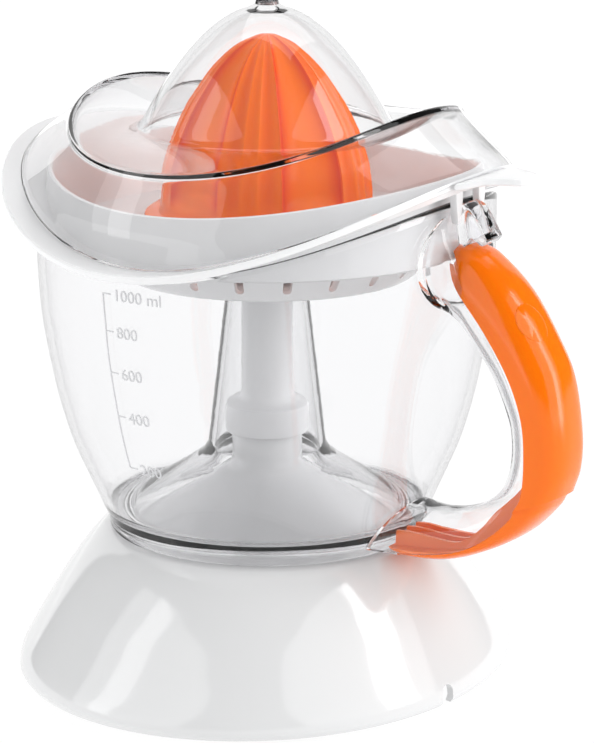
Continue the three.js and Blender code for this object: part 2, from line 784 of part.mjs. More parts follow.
function jugBowl() {
  const floorTop = jugFoot + jugFloorEdge + jugFloorRise;
  const bowl = around((angle) => {
    const { points, rim } = jugOuter(angle);
    const inside = everySecond([...points].reverse())
      .filter(([, z]) => z > jugFoot + jugFloorEdge + jugWall)
      .map(([r, z]) => [r - jugWall, z]);
    return [
      [jugFootRadius - jugFootWidth, jugFoot],
      [jugFootRadius - filletStep, jugFoot],
      ...points,
      [rim, rimHeight(angle) - filletStep / 2],
      [rim - filletStep / 2, rimHeight(angle)],
      [rim - jugWall, rimHeight(angle)],
      ...inside,
      [jugFootRadius - jugWall, jugFoot + jugFloorEdge],
      [tubeFootRadius + filletStep * 2, floorTop - filletStep],
      [tubeFootRadius, floorTop + filletStep * 2],
      [tubeTopRadius, tubeTop - filletStep / 2],
      [tubeTopRadius - filletStep / 2, tubeTop],
      [tubeTopRadius - tubeWall, tubeTop],
      [tubeFootRadius - tubeWall, floorTop],
      [tubeFootRadius - tubeWall + filletStep, floorTop - jugWall],
      [jugFootRadius - jugFootWidth - filletStep, jugFoot + jugFootHeight],
    ];
  });
  add('jug_bowl', bowl, clear, 0.05, 0, 0.35);
}

// Handle: the clear spine follows the path, the orange grip lies on its outer side
const wallX = jugRimRadius - jugRimOval;
const handlePath = new THREE.CatmullRomCurve3(handlePathShares.map(([out, up]) => v3(
  mix(mix(jugFootRadius, wallX, up), handleReach, out), 0, mix(handleBottom, handleTop, up),
)), false, 'centripetal');
function pathFrame(share) {
  const point = handlePath.getPointAt(share);
  const along = handlePath.getTangentAt(share);
  return { point, outward: v3(-along.z, 0, along.x) };
}
// Rounded section across the path, from one side of it to the other
function handleSection(share, low, high, half, lowCorner, highCorner) {
  const { point, outward } = pathFrame(share);
  const at = (u, v) => point.clone().addScaledVector(outward, u).add(v3(0, v, 0));
  const section = [];
  const corner = (u, v, r, su, sv, turnsIn) => {
    for (let i = 0; i <= cornerSteps; i++) {
      const turn = (Math.PI / 2) * (turnsIn ? i / cornerSteps : 1 - i / cornerSteps);
      section.push(at(u + su * r * Math.sin(turn), v + sv * r * Math.cos(turn)));
    }
  };
  corner(high - highCorner, half - highCorner, highCorner, 1, 1, true);
  corner(high - highCorner, -(half - highCorner), highCorner, 1, -1, false);
  corner(low + lowCorner, -(half - lowCorner), lowCorner, -1, -1, true);
  corner(low + lowCorner, half - lowCorner, lowCorner, -1, 1, false);
  return section;
}
const outwardSign = Math.sign(pathFrame(1 / 2).outward.x);

function jugCutter() {
  return around((angle) => {
    const { points, rim } = jugOuter(angle, gap);
    return [
      [0, jugFoot - overrun],
      [jugFootRadius + gap, jugFoot - overrun],
      ...points,
      [rim, rimHeight(angle) + neckHeight],
      [0, rimHeight(angle) + neckHeight],
    ];
  });
}

const stationShares = (count, low, high) => Array.from(
  { length: count },
  (_, i) => mix(low, high, i / (count - 1)),
);

function gripThicknessAt(share) {
  const endsIn = Math.max(0, (share - gripTaperShare) / (1 - gripTaperShare));
  return mix(gripThickness, gripEndThickness, ease(endsIn));
}

function handle() {
  const outer = (u) => outwardSign * u;
  const section = (share, a, b, half, ca, cb) => (outwardSign > 0
    ? handleSection(share, a, b, half, ca, cb)
    : handleSection(share, outer(b), outer(a), half, cb, ca));
  const jugSide = jugCutter();
  const spineCorner = spineThickness / 3;
  const spine = loft(stationShares(gripStations, 0, 1).map((share) => section(
    share, -spineThickness, -gap / 2, spineHalfWidth, spineCorner, spineCorner / 3,
  )));
  const topX = handlePath.getPointAt(0).x;
  const neckShape = new THREE.Shape([
    v2(wallX - spineThickness, handleTop - spineThickness),
    v2(topX - gap, handleTop + gap),
    v2(topX + neckReach, handleTop + neckReach / 2 + 2 * gap),
    v2(topX + neckReach, handleTop + neckHeight * neckTipShare),
    v2(wallX + neckReach, handleTop + neckHeight * neckBendShare),
    v2(wallX + spineThickness / 3, handleTop + neckHeight),
    v2(wallX - spineThickness, handleTop + neckHeight),
  ]);
  const neckHalf = clipLugSpread - clipLugWidth / 2 - runClearance;
  const neckGeometry = new THREE.ExtrudeGeometry(neckShape, { depth: 2 * neckHalf, bevelEnabled: false });
  neckGeometry.rotateX(Math.PI / 2);
  neckGeometry.translate(0, neckHalf, 0);
  // The root pad flares out where the handle meets the wall of the jug
  const root = loft(rootShares.map(([out, width, drop]) => {
    const x = mix(wallX, topX, out);
    const half = spineRootHalfWidth * width;
    const low = handleTop - neckHeight * drop;
    const high = handleTop - filletStep;
    return [v3(x, -half, low), v3(x, half, low), v3(x, half, high), v3(x, -half, high)];
  }));
  const { point: toe } = pathFrame(1);
  const toeBlock = block(
    spineThickness * 2, 2 * spineHalfWidth, toe.z + filletStep, toe.z + neckHeight * toeHeightShare,
    toe.x - spineThickness / 4, 0,
  );
  const clearSpine = cut(union(spine, toSolid(neckGeometry), root, toeBlock), jugSide);
  add('jug_handle', largest(clearSpine), clear, 0.05, 0, 0.35);

  const gripSkin = (inset, from, to, count) => loft(stationShares(count, from, to).map((share) => {
    const thickness = gripThicknessAt(share);
    return section(
      share,
      gap / 2 + (inset ? -overrun : 0), gap / 2 + thickness - inset, gripHalfWidth - inset,
      gripCorner / 8, Math.min(gripCorner, thickness * gripCornerShare) - inset / 2,
    );
  }));
  const outside = gripSkin(0, 0, 1, gripStations);
  const endWall = gripWall / handlePath.getLength();
  const hollow = gripSkin(gripWall, endWall, 1 - endWall, gripStations);
  const ribs = [];
  for (let i = 0; i < ribCount; i++) {
    const side = (i - (ribCount - 1) / 2) * (gripHalfWidth - gripWall) * ribSpreadShare;
    ribs.push(loft(stationShares(gripStations, 0, 1).map((share) => {
      const { point, outward } = pathFrame(share);
      const at = (u, v) => point.clone().addScaledVector(outward, outer(u)).add(v3(0, v, 0));
      const deep = gap / 2 + gripThicknessAt(share) - gripWall / 2;
      return [
        at(gap, side - ribThickness / 2), at(gap, side + ribThickness / 2),
        at(deep, side + ribThickness / 2), at(deep, side - ribThickness / 2),
      ];
    })));
  }
  const shell = cut(outside, hollow);
  const badgeAt = pathFrame(badgePathShare);
  const badgeTool = (grow) => {
    const shape = new THREE.Shape();
    shape.absellipse(0, 0, badgeSemiLong + grow, badgeSemiShort + grow, 0, 2 * Math.PI);
    const depth = gripHalfWidth * 3;
    const extrusion = { depth, bevelEnabled: false, curveSegments: smallSides };
    const geometry = new THREE.ExtrudeGeometry(shape, extrusion);
    const along = handlePath.getTangentAt(badgePathShare);
    const out = badgeAt.outward.clone().multiplyScalar(outwardSign);
    const look = out.clone().multiplyScalar(Math.cos(badgeTurn)).add(v3(0, Math.sin(badgeTurn), 0));
    look.normalize();
    const third = look.clone().cross(along).normalize();
    const frame = new THREE.Matrix4().makeBasis(along, third, look);
    const origin = badgeAt.point.clone().addScaledVector(out, gripThickness / 3);
    geometry.applyMatrix4(frame.setPosition(origin));
    return toSolid(geometry);
  };
  const badgeFloor = gripSkin(badgeDepth, 0, 1, gripStations);
  const badgeSeat = gripSkin(badgeDepth + gap, 0, 1, gripStations);
  const badge = outside.intersect(badgeTool(0)).subtract(badgeFloor);
  const pocket = badgeTool(gap).subtract(badgeSeat);
  const grip = cut(union(cut(shell, pocket), ...ribs.map((rib) => rib.intersect(badgeSeat))), jugSide);
  add('handle_grip', largest(grip), orange, 0.35);
  add('grip_badge', largest(badge), orange, 0.35);
}

// Strainer
const flangeTop = (angle) => flangeHeight + flangeWave * twice(angle);
const collarTopAt = (angle) => {
  const rise = mix(collarLowSide, collarHighSide, (1 + twice(angle)) / 2);
  return flangeTop(angle) + rise;
};

// The flat floor with its hub is a piece of its own inside the basket
function strainer() {
  const floorTop = basketFloorBottom + basketFloor;
  const floorRadius = basketRadius - 2 * strainerWall;
  const hubInner = stemRadius + 2 * runClearance;
  const body = around((angle) => {
    const edge = flangeTop(angle) + flangeEdgeLift + flangeEdgeWave * twice(angle);
    const { rim } = jugOuter(angle);
    const seat = rimHeight(angle) + gap;
    const seatEdge = Math.min(rim + filletStep, flangeRadius - strainerWall * 2);
    return [
      [floorRadius + gap, floorTop],
      [basketRadius - strainerWall, floorTop],
      [basketTopRadius - strainerWall, basketTop],
      [collarRimRadius - strainerWall, shelfHeight],
      [collarRimRadius - strainerWall, collarTopAt(angle)],
      [collarRimRadius, collarTopAt(angle)],
      [collarRimRadius + filletStep / 2, flangeTop(angle)],
      [coverEdgeRadius + filletStep * 2, flangeTop(angle)],
      [flangeRadius, edge],
      [flangeRadius, edge - flangeLip],
      [flangeRadius - strainerWall, edge - flangeLip],
      [flangeRadius - strainerWall, edge - strainerWall],
      [seatEdge, flangeTop(angle) - strainerWall],
      [seatEdge, Math.min(seat, flangeTop(angle) - strainerWall)],
      [collarRimRadius, Math.min(seat, flangeTop(angle) - strainerWall)],
      [collarRimRadius, shelfHeight - strainerWall],
      [basketTopRadius, basketTop - strainerWall],
      [basketRadius, basketFloorBottom],
      [floorRadius + gap, basketFloorBottom],
    ];
  });
  const floor = turned([
    [hubInner, strainerHubTop], [strainerHubRadius, strainerHubTop], [strainerHubRadius, floorTop],
    [floorRadius, floorTop], [floorRadius, basketFloorBottom], [hubInner, basketFloorBottom],
  ], bigSides);
  const slots = [];
  for (let i = 0; i < slotCount; i++) {
    slots.push(block(
      basketTopRadius - basketRadius + 4 * strainerWall, slotWidth, slotBottom, slotTop,
      (basketTopRadius + basketRadius) / 2, 0, (2 * Math.PI * i) / slotCount,
    ));
  }
  const lugX = jugRimRadius - jugRimOval + 2 * gap + clipLugDepth / 2;
  const underside = flangeTop(0) - strainerWall / 2;
  const lugs = [1, -1].map((side) => loft([[0, clipLugTipShare], [1, 1]].map(([up, width]) => {
    const [halfX, halfY] = [clipLugDepth * width / 2, clipLugWidth * width / 2];
    const place = ([sx, sy]) => v3(
      lugX + sx * halfX, side * clipLugSpread + sy * halfY, mix(underside - clipLugDrop, underside, up),
    );
    return corners.map(place);
  })));
  const wingRoot = flangeRadius - strainerWall * 2;
  const wingBend = mix(flangeRadius, wingReach, wingBendShare);
  const wingShape = new THREE.Shape([
    v2(wingRoot, -wingRootHalf), v2(wingBend, -wingBendHalf),
    v2(wingReach - filletStep, -wingTipHalf), v2(wingReach, -wingCornerHalf),
    v2(wingReach, wingCornerHalf), v2(wingReach - filletStep, wingTipHalf),
    v2(wingBend, wingBendHalf), v2(wingRoot, wingRootHalf),
  ]);
  const wing = new THREE.ExtrudeGeometry(wingShape, { depth: wingThickness, bevelEnabled: false });
  wing.translate(0, 0, flangeTop(0) + flangeEdgeLift + flangeEdgeWave - wingThickness);
  add('strainer', union(cut(body, ...slots), ...lugs, toSolid(wing)), white, 0.3);
  add('strainer_floor', floor, white, 0.3);
}

// Reamer cone: groups of sharp ribs run from the tip down, and smooth panels lie scooped between them.
// The socket for the shaft and the drip skirt are pieces of their own.
function cone() {
  const span = coneTop - coneBase;
  const sides = coneGroups * coneCutShares.length;
  const fade = (share) => Math.min(1, Math.max(0, share / conePanelFadeShare));
  const fullness = (share) => fade(share - conePanelFootShare) * fade(1 - share);
  const cutAt = (angle) => {
    const side = Math.round((angle * sides) / (2 * Math.PI));
    return conePanelDepth * coneCutShares[side % coneCutShares.length];
  };
  const socketTop = stemTop + tipHeight + 2 * gap;
  const hubOuter = tipAcrossFlats / 2 / Math.cos(Math.PI / 6) + coneHubWall;
  const hollow = everySecond(coneOutlineShares.slice(0, -2)).map(([radial, share]) => [
    radial * (coneRadius - coneWall - conePanelDepth) - coneWall * share * 2,
    coneBase + (span - coneWall * 2) * share,
  ]);
  const [, ceiling] = hollow.at(-1);
  const flangeBottom = coneBase - coneFlangeThickness;
  const body = around((angle) => {
    const outer = coneOutlineShares.map(([radial, share]) => [
      Math.max(0, radial * coneRadius - fullness(share) * cutAt(angle)), coneBase + span * share,
    ]);
    return [
      ...outer.reverse(),
      [coneFlangeRadius - filletStep, coneBase],
      [coneFlangeRadius, coneBase - coneFlangeThickness / 2],
      [coneFlangeRadius - filletStep, flangeBottom],
      [coneSkirtRadius - coneWall, flangeBottom],
      ...hollow,
      [0, ceiling],
    ];
  }, sides).rotate([0, 0, coneGroupTurn]);
  const socket = hexRod(tipAcrossFlats + 2 * gap, stemTop - overrun, socketTop);
  const hub = rod(hubOuter, stemTop + gap, ceiling - gap, 0, 0, midSides);
  const skirtTop = flangeBottom - gap;
  const skirt = tube(
    coneSkirtRadius - coneWall, coneSkirtRadius, skirtTop - coneSkirtDrop, skirtTop, 0, 0, bigSides,
  );
  add('cone', body, orange, 0.3);
  add('cone_hub', cut(hub, socket), orange, 0.3);
  add('cone_skirt', skirt, orange, 0.3);
}

// Clear cover with its dome
const ridgeHeight = flangeHeight + ridgeRise;
const domeBase = ridgeHeight - domeFootDrop;
const domeTop = domeBase + domeRise;
const coverEdge = (angle) => flangeTop(angle) + gap;
const ridgeR = (angle) => ridgeRadius - ridgeOval * twice(angle);
const ridgeZ = (angle) => ridgeHeight + ridgeWave * twice(angle);
function cover() {
  const body = around((angle) => {
    const dome = [];
    for (let i = 1; i <= domeSteps; i++) {
      const share = i / domeSteps;
      dome.push([domeRadius * share, domeTop - (domeTop - domeBase) * share ** 2]);
    }
    const innerDome = everySecond([...dome].reverse())
      .map(([r, z]) => [r * (1 - coverWall / domeRadius), z - coverWall * domeWallShare]);
    return [
      [0, domeTop + knobHeight],
      [knobRadius - filletStep, domeTop + knobHeight],
      [knobRadius, domeTop + knobHeight - filletStep],
      [knobRadius, domeTop],
      ...dome,
      [domeRadius + filletStep * 2, domeBase - filletStep],
      [ridgeR(angle) - filletStep, ridgeZ(angle)],
      [ridgeR(angle) + filletStep, ridgeZ(angle) - filletStep],
      [coverEdgeRadius, coverEdge(angle)],
      [coverEdgeRadius - coverWall, coverEdge(angle)],
      [ridgeR(angle) - coverWall / 2, ridgeZ(angle) - coverWall],
      [domeRadius + filletStep * 2, domeBase - filletStep - coverWall],
      ...innerDome,
      [0, domeTop - coverWall],
    ];
  });
  add('cover', body, clear, 0.05, 0, 0.35);
}

baseHousing();
basePlate();
feetAndScrews();
motor();
gearTrain();
pressLine();
jugBowl();
handle();
strainer();
cone();
cover();

pieces.position.x = (flangeRadius - handleReach - gap / 2 - gripThickness) / 2;

export default pieces;
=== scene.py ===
import json
import math
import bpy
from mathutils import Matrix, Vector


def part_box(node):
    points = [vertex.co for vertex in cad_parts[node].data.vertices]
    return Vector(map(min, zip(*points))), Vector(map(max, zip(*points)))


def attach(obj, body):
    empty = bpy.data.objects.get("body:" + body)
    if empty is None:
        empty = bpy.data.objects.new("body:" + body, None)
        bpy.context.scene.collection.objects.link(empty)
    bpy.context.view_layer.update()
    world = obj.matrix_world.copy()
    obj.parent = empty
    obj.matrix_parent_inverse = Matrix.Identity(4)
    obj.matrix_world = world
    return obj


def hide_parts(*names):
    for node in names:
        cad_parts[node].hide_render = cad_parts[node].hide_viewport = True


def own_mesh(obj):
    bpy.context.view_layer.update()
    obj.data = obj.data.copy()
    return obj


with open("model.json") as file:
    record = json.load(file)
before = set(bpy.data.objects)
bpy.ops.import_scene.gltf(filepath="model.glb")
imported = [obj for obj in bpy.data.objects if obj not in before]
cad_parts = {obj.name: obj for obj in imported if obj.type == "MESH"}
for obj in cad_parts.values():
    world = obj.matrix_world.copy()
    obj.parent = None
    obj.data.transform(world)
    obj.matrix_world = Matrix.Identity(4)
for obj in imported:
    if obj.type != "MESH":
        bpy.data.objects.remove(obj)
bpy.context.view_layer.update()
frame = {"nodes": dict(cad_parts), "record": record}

from types import SimpleNamespace

import bmesh
import bpy
from bpy.props import FloatProperty, FloatVectorProperty, IntProperty, PointerProperty
from bpy.types import Operator, Panel, PropertyGroup
from mathutils import Matrix, Vector
from mathutils.bvhtree import BVHTree

bl_info = {
    "name": "Citrus press juicer",
    "version": (1, 0, 0),
    "blender": (4, 5, 0),
    "location": "3D View > Sidebar > Juicer",
    "description": "Builds the pieces that show of an electric citrus press juicer",
    "category": "Object",
}

# Shapes are drawn in millimetres about the upright axis of the drive, with the handle along +X
MM = 0.001
FULL_TURN = 2 * math.pi
SAME_PLACE = 0.002
SHARP_EDGE = math.radians(38)
AXIS_X = sum(corner.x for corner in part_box("drive_rod")) / 2


# ---------------------------------------------------------------- sizes and colours

def length(name, description, millimetres):
    return FloatProperty(
        name=name, description=description, default=millimetres * MM, min=0.0, precision=4,
        unit="LENGTH", subtype="DISTANCE",
    )


def colour(name, description, shade):
    return FloatVectorProperty(
        name=name, description=description, default=shade, size=3, min=0.0, max=1.0, subtype="COLOR",
    )


def share(name, description, value, most=1.0):
    return FloatProperty(name=name, description=description, default=value, min=0.0, max=most, precision=3)


class JuicerSizes(PropertyGroup):
    """Sizes of the pieces that show"""

    skirt_radius: length("Skirt radius", "Middle radius of the base at its lower edge", 86.2)
    skirt_oval: length("Skirt oval", "How much wider the base is across the handle than along it", 5.5)
    base_wall: length("Base wall", "Thickness of the wall of the base", 2.5)
    deck_radius: length("Deck radius", "Radius of the deck that the jug stands on", 54.8)
    deck_height: length("Deck height", "Height of the deck that the jug stands on", 49.0)
    boss_radius: length("Boss radius", "Radius of the boss round the drive", 12.0)
    boss_top: length("Boss top", "Height of the boss round the drive", 84.5)
    jug_foot_radius: length("Jug foot radius", "Radius of the ring under the jug", 54.0)
    jug_foot_height: length("Jug foot height", "Height of the underside of the jug", 49.3)
    jug_rim_radius: length("Jug rim radius", "Middle radius of the jug at its rim", 77.8)
    jug_rim_height: length("Jug rim height", "Middle height of the rim of the jug", 160.2)
    jug_rim_wave: length("Jug rim wave", "How far the rim rises at the handle and drops at the sides", 9.7)
    jug_rim_oval: length("Jug rim oval", "How much the rim narrows towards the handle", 2.0)
    jug_wall: length("Jug wall", "Thickness of the wall of the jug", 2.5)
    tube_top: length("Tube top", "Height of the tube in the middle of the jug", 136.8)
    spout_reach: length("Spout reach", "How far the spout stands out from the rim", 7.0)
    flange_radius: length("Flange radius", "Radius of the edge of the strainer", 88.6)
    flange_narrowing: length("Flange narrowing", "How much nearer the edge comes beside the handle", 5.0)
    wing_reach: length("Wing reach", "How far the lifting tongue of the strainer reaches", 101.8)
    cone_radius: length("Cone radius", "Radius of the reamer over its ribs", 35.7)
    cone_base: length("Cone base", "Height of the top of the reamer's flange", 158.0)
    cone_top: length("Cone top", "Height of the tip of the reamer", 216.9)
    rib_depth: length("Rib depth", "Depth of the hollows between the reamer's ribs", 3.6)
    dome_radius: length("Dome radius", "Radius of the dome of the cover at its foot", 42.3)
    dome_base: length("Dome base", "Height of the foot of the dome", 187.0)
    dome_top: length("Dome top", "Height of the top of the dome under its knob", 227.0)
    cover_wall: length("Cover wall", "Thickness of the wall of the cover", 2.0)
    stem_radius: length("Stem radius", "Radius of the white drive shaft", 8.9)
    collar_radius: length("Collar radius", "Radius of the collar of the drive shaft", 14.3)
    handle_wall: length("Handle wall", "Thickness of the clear channel of the handle", 2.4)


class JuicerFinishes(PropertyGroup):
    """Colours and gloss of the pieces that show"""

    white: colour("White", "Gloss white of the base", (0.77, 0.775, 0.78))
    satin: colour("Satin white", "Satin white of the strainer and the shaft", (0.87, 0.872, 0.88))
    orange: colour("Orange", "Orange of the reamer and the grip", (1.0, 0.18, 0.0))
    # Painted shade: a deeper orange laid into the reamer's colour in the creases and hollows between its ribs
    painted_shade_orange: colour("Deep orange", "Colour in the hollows between the reamer's ribs", (0.75, 0.025, 0.0))
    clear: colour("Clear", "Tint of the clear jug, handle and cover", (0.995, 0.997, 1.0))
    # Painted shade: the clear plastic darkens where its surface turns away from the view, for the dark
    # surroundings seen through its edges
    edge: colour("Clear edge", "Tint of the clear plastic where its surface turns away", (0.1, 0.085, 0.12))
    painted_edge_reach: share("Clear edge reach", "How steeply the edge tint comes in", 8.0, 20.0)
    depth: colour("Clear depth", "Tint that the clear plastic takes with its depth", (0.3, 0.27, 0.33))
    depth_density: share("Clear depth density", "How fast the clear plastic darkens with its depth", 15.0, 1000.0)
    let_through: share("Light let through", "How much of the light crosses a clear surface into the jug", 0.99)
    rubber: colour("Rubber", "Dark rubber of the feet and the cord gland", (0.033, 0.034, 0.038))
    steel: colour("Steel", "Steel of the screws, the rod and the motor", (0.58, 0.58, 0.6))
    brass: colour("Brass", "Brass of the pinion and the bushes", (0.56, 0.36, 0.12))
    copper: colour("Copper", "Enamelled wire of the coil", (0.42, 0.13, 0.035))
    nylon: colour("Nylon", "Natural nylon of the gears", (0.78, 0.76, 0.68))
    dark: colour("Dark plastic", "Dark plastic of the switch and the motor's end", (0.03, 0.032, 0.036))
    red: colour("Red", "Red plastic of the switch button", (0.5, 0.03, 0.02))
    # Painted shade: the clear raised marks take a light grey for the shade that clear relief shows
    marks: colour("Marks", "Moulded level marks on the jug", (0.66, 0.665, 0.68))
    gloss: share("Gloss", "Roughness of the glossy plastic", 0.11)
    clear_gloss: share("Clear gloss", "Roughness of the clear plastic", 0.015)
    turn_steps: IntProperty(name="Steps round", description="Facets round the large forms", default=160, min=32)


class StudioLight(PropertyGroup):
    """Light and floor of the studio"""

    side_strength: share("Side boxes", "Radiance of the two side boxes", 1.4, 100.0)
    top_strength: share("Top box", "Radiance of the box overhead", 1.8, 100.0)
    strip_strength: share("Side strips", "Radiance of the narrow bright strip beyond each side box", 4.6, 100.0)
    back_strength: share("Back wall", "Radiance of the bright wall behind", 1.0, 100.0)
    room_light: share("Room light", "Light that reaches the pieces from all round", 0.15, 10.0)
    room_gloss: share("Room gloss", "Brightness of the room in reflections", 0.12, 10.0)
    room_through: share("Room through", "Brightness of the room seen through clear pieces", 0.9, 10.0)
    floor_glow: share("Floor glow", "How much the floor shines by itself", 0.94, 10.0)


def sizes_in_mm():
    group = bpy.context.scene.juicer_sizes
    return SimpleNamespace(**{name: getattr(group, name) / MM for name in JuicerSizes.__annotations__})


# ---------------------------------------------------------------- lines and outlines

def mix(low, high, amount):
    return low + (high - low) * amount


def ease(amount):
    amount = min(1.0, max(0.0, amount))
    return amount * amount * (3 - 2 * amount)


def curve_through(points, steps):
    """A smooth row of points through the given ones, with the same number of steps between each two."""
    points = [Vector(point) for point in points]
    knots = [0.0]
    for before, after in zip(points, points[1:]):
        knots.append(knots[-1] + math.sqrt((after - before).length))
    last = len(points) - 1
    slopes = []
    for i in range(len(points)):
        low, high = max(i - 1, 0), min(i + 1, last)
        slopes.append((points[high] - points[low]) / (knots[high] - knots[low]))
    row = []
    for i in range(last):
        span = knots[i + 1] - knots[i]
        for j in range(steps):
            t = j / steps
            row.append(
                points[i] * (2 * t ** 3 - 3 * t ** 2 + 1) + slopes[i] * (span * (t ** 3 - 2 * t ** 2 + t))
                + points[i + 1] * (3 * t ** 2 - 2 * t ** 3) + slopes[i + 1] * (span * (t ** 3 - t ** 2))
            )
    row.append(points[last])
    return row


def profile(*points):
    """Profile points of radius, height, swell and rise, where the last two may be left out."""
    return [Vector((*point, *(0.0,) * (4 - len(point)))) for point in points]


def wall_behind(row, wall):
    """The same profile moved sideways by a wall's thickness, without the points that would cross."""
    moved = []
    for i, point in enumerate(row):
        along = (row[min(i + 1, len(row) - 1)] - row[max(i - 1, 0)]).xy.normalized()
        shifted = point.copy()
        shifted.x = max(0.0, point.x + wall * along.y)
        shifted.y = point.y - wall * along.x
        nearest = min((shifted.xy - other.xy).length for other in row)
        if nearest > abs(wall) * 0.94:
            moved.append(shifted)
    return moved


def wave_at(x, y):
    """+1 towards the handle and the spout, -1 at the two sides."""
    return (x * x - y * y) / (x * x + y * y)


def radius_at(row, height, wave):
    """Radius of a profile row at a height, on the side where the wave has that value."""
    points = [(p.x + p.z * wave, p.y + p.w * wave) for p in row]
    for (r1, z1), (r2, z2) in zip(points, points[1:]):
        if z1 <= height <= z2:
            return mix(r1, r2, (height - z1) / (z2 - z1))
    return points[0][0] if height < points[0][1] else points[-1][0]


def rounded(value, power):
    return math.copysign(abs(value) ** power, value)


# ---------------------------------------------------------------- bmesh shapes

def spun(row, closed, steps=None):
    """Turns a profile about the drive axis, then lets its radius and height swing with the wave."""
    steps = steps or bpy.context.scene.juicer_finishes.turn_steps
    shape = bmesh.new()
    swell = shape.verts.layers.float.new("swell")
    rise = shape.verts.layers.float.new("rise")
    verts = []
    for point in row:
        vert = shape.verts.new((point.x, 0, point.y))
        vert[swell], vert[rise] = point.z, point.w
        verts.append(vert)
    pairs = list(zip(verts, verts[1:])) + ([(verts[-1], verts[0])] if closed else [])
    edges = [shape.edges.new(pair) for pair in pairs]
    bmesh.ops.spin(
        shape, geom=verts + edges, cent=(0, 0, 0), axis=(0, 0, 1), angle=FULL_TURN, steps=steps, use_merge=True,
    )
    bmesh.ops.remove_doubles(shape, verts=shape.verts, dist=SAME_PLACE)
    for vert in shape.verts:
        radius = vert.co.xy.length
        if radius > SAME_PLACE:
            wave = wave_at(vert.co.x, vert.co.y)
            vert.co.xy *= (radius + vert[swell] * wave) / radius
            vert.co.z += vert[rise] * wave
    return shape


def verts_of(items):
    return [item for item in items if isinstance(item, bmesh.types.BMVert)]


def swept(rings):
    """A closed skin through rings with the same number of points."""
    shape = bmesh.new()
    place = shape.verts.layers.int.new("place")
    verts = [shape.verts.new(point) for point in rings[0]]
    for i, vert in enumerate(verts):
        vert[place] = i
    edges = [shape.edges.new(pair) for pair in zip(verts, verts[1:] + verts[:1])]
    first = edges
    for ring in rings[1:]:
        new = bmesh.ops.extrude_edge_only(shape, edges=edges)["geom"]
        for vert in verts_of(new):
            vert.co = ring[vert[place]]
        edges = [item for item in new if isinstance(item, bmesh.types.BMEdge) and item.is_boundary]
    bmesh.ops.edgeloop_fill(shape, edges=first)
    bmesh.ops.edgeloop_fill(shape, edges=edges)
    return shape


def plate(outline, depth, bevel=0.0, segments=2):
    """An outline in any plane, pushed along a vector, with rounded edges."""
    shape = bmesh.new()
    face = shape.faces.new([shape.verts.new(point) for point in outline])
    new = bmesh.ops.extrude_face_region(shape, geom=[face])["geom"]
    bmesh.ops.translate(shape, vec=depth, verts=verts_of(new))
    bmesh.ops.recalc_face_normals(shape, faces=shape.faces)
    if bevel:
        bmesh.ops.bevel(
            shape, geom=shape.edges, offset=bevel, segments=segments, affect="EDGES", profile=0.5, material=-1,
            clamp_overlap=True,
        )
    return shape


def move(shape, by):
    bmesh.ops.translate(shape, vec=by, verts=shape.verts)


def rod(radius, long, sides, axis, degrees):
    """A rod of that many sides about the origin, turned about one axis."""
    shape = bmesh.new()
    bmesh.ops.create_cone(shape, cap_ends=True, segments=sides, radius1=radius, radius2=radius, depth=long)
    bmesh.ops.rotate(shape, verts=shape.verts, matrix=turned(axis, degrees))
    return shape


def add_bar(shape, measures, middle):
    """Adds a box of those measures to a shape."""
    verts = bmesh.ops.create_cube(shape, size=1.0)["verts"]
    bmesh.ops.scale(shape, vec=measures, verts=verts)
    bmesh.ops.translate(shape, vec=middle, verts=verts)


def blank(name, shape):
    """An object in metres, in its place, from a shape in millimetres."""
    bmesh.ops.remove_doubles(shape, verts=shape.verts, dist=SAME_PLACE)
    bmesh.ops.recalc_face_normals(shape, faces=shape.faces)
    bmesh.ops.scale(shape, vec=(MM, MM, MM), verts=shape.verts)
    move(shape, (AXIS_X, 0, 0))
    return new_object(name, shape)


def new_object(name, shape):
    mesh = bpy.data.meshes.new(name)
    shape.to_mesh(mesh)
    shape.free()
    thing = bpy.data.objects.new(name, mesh)
    bpy.context.scene.collection.objects.link(thing)
    return thing


def settle(piece):
    """Puts what the modifiers make into the mesh, and shades it smooth up to its sharp edges."""
    depsgraph = bpy.context.evaluated_depsgraph_get()
    mesh = bpy.data.meshes.new_from_object(piece.evaluated_get(depsgraph))
    piece.modifiers.clear()
    piece.data = mesh
    mesh.name = piece.name
    mesh.shade_smooth()
    mesh.set_sharp_from_angle(angle=SHARP_EDGE)


def soften(piece, width, segments=3, angle=40):
    bevel = piece.modifiers.new("Soft edges", "BEVEL")
    bevel.width = width * MM
    bevel.segments = segments
    bevel.limit_method = "ANGLE"
    bevel.angle_limit = math.radians(angle)
    bevel.use_clamp_overlap = True


def combine(piece, operation, tools):
    for tool in tools:
        change = piece.modifiers.new(tool.name, "BOOLEAN")
        change.operation = operation
        change.solver = "MANIFOLD"
        change.object = tool
    settle(piece)
    for tool in tools:
        bpy.data.objects.remove(tool)


def dress(piece, material, body, slot, *nodes):
    piece.data.materials.clear()
    piece.data.materials.append(material)
    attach(piece, body)
    if nodes:
        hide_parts(*nodes)


# ---------------------------------------------------------------- materials

def new_group(name, inputs, outputs):
    group = bpy.data.node_groups.new(name, "ShaderNodeTree")
    for title, kind in inputs:
        group.interface.new_socket(title, in_out="INPUT", socket_type=kind)
    for title, kind in outputs:
        group.interface.new_socket(title, in_out="OUTPUT", socket_type=kind)
    return group, group.nodes.new("NodeGroupInput"), group.nodes.new("NodeGroupOutput")


def tree_of(owner):
    """The nodes of a material or world, and what links them."""
    return owner.node_tree.nodes, owner.node_tree.links.new


def maths(nodes, link, operation, *inputs):
    """The result of a math node, whose inputs are numbers or other nodes' results."""
    node = nodes.new("ShaderNodeMath")
    node.operation = operation
    for socket, value in zip(node.inputs, inputs):
        give(link, socket, value)
    return node.outputs[0]


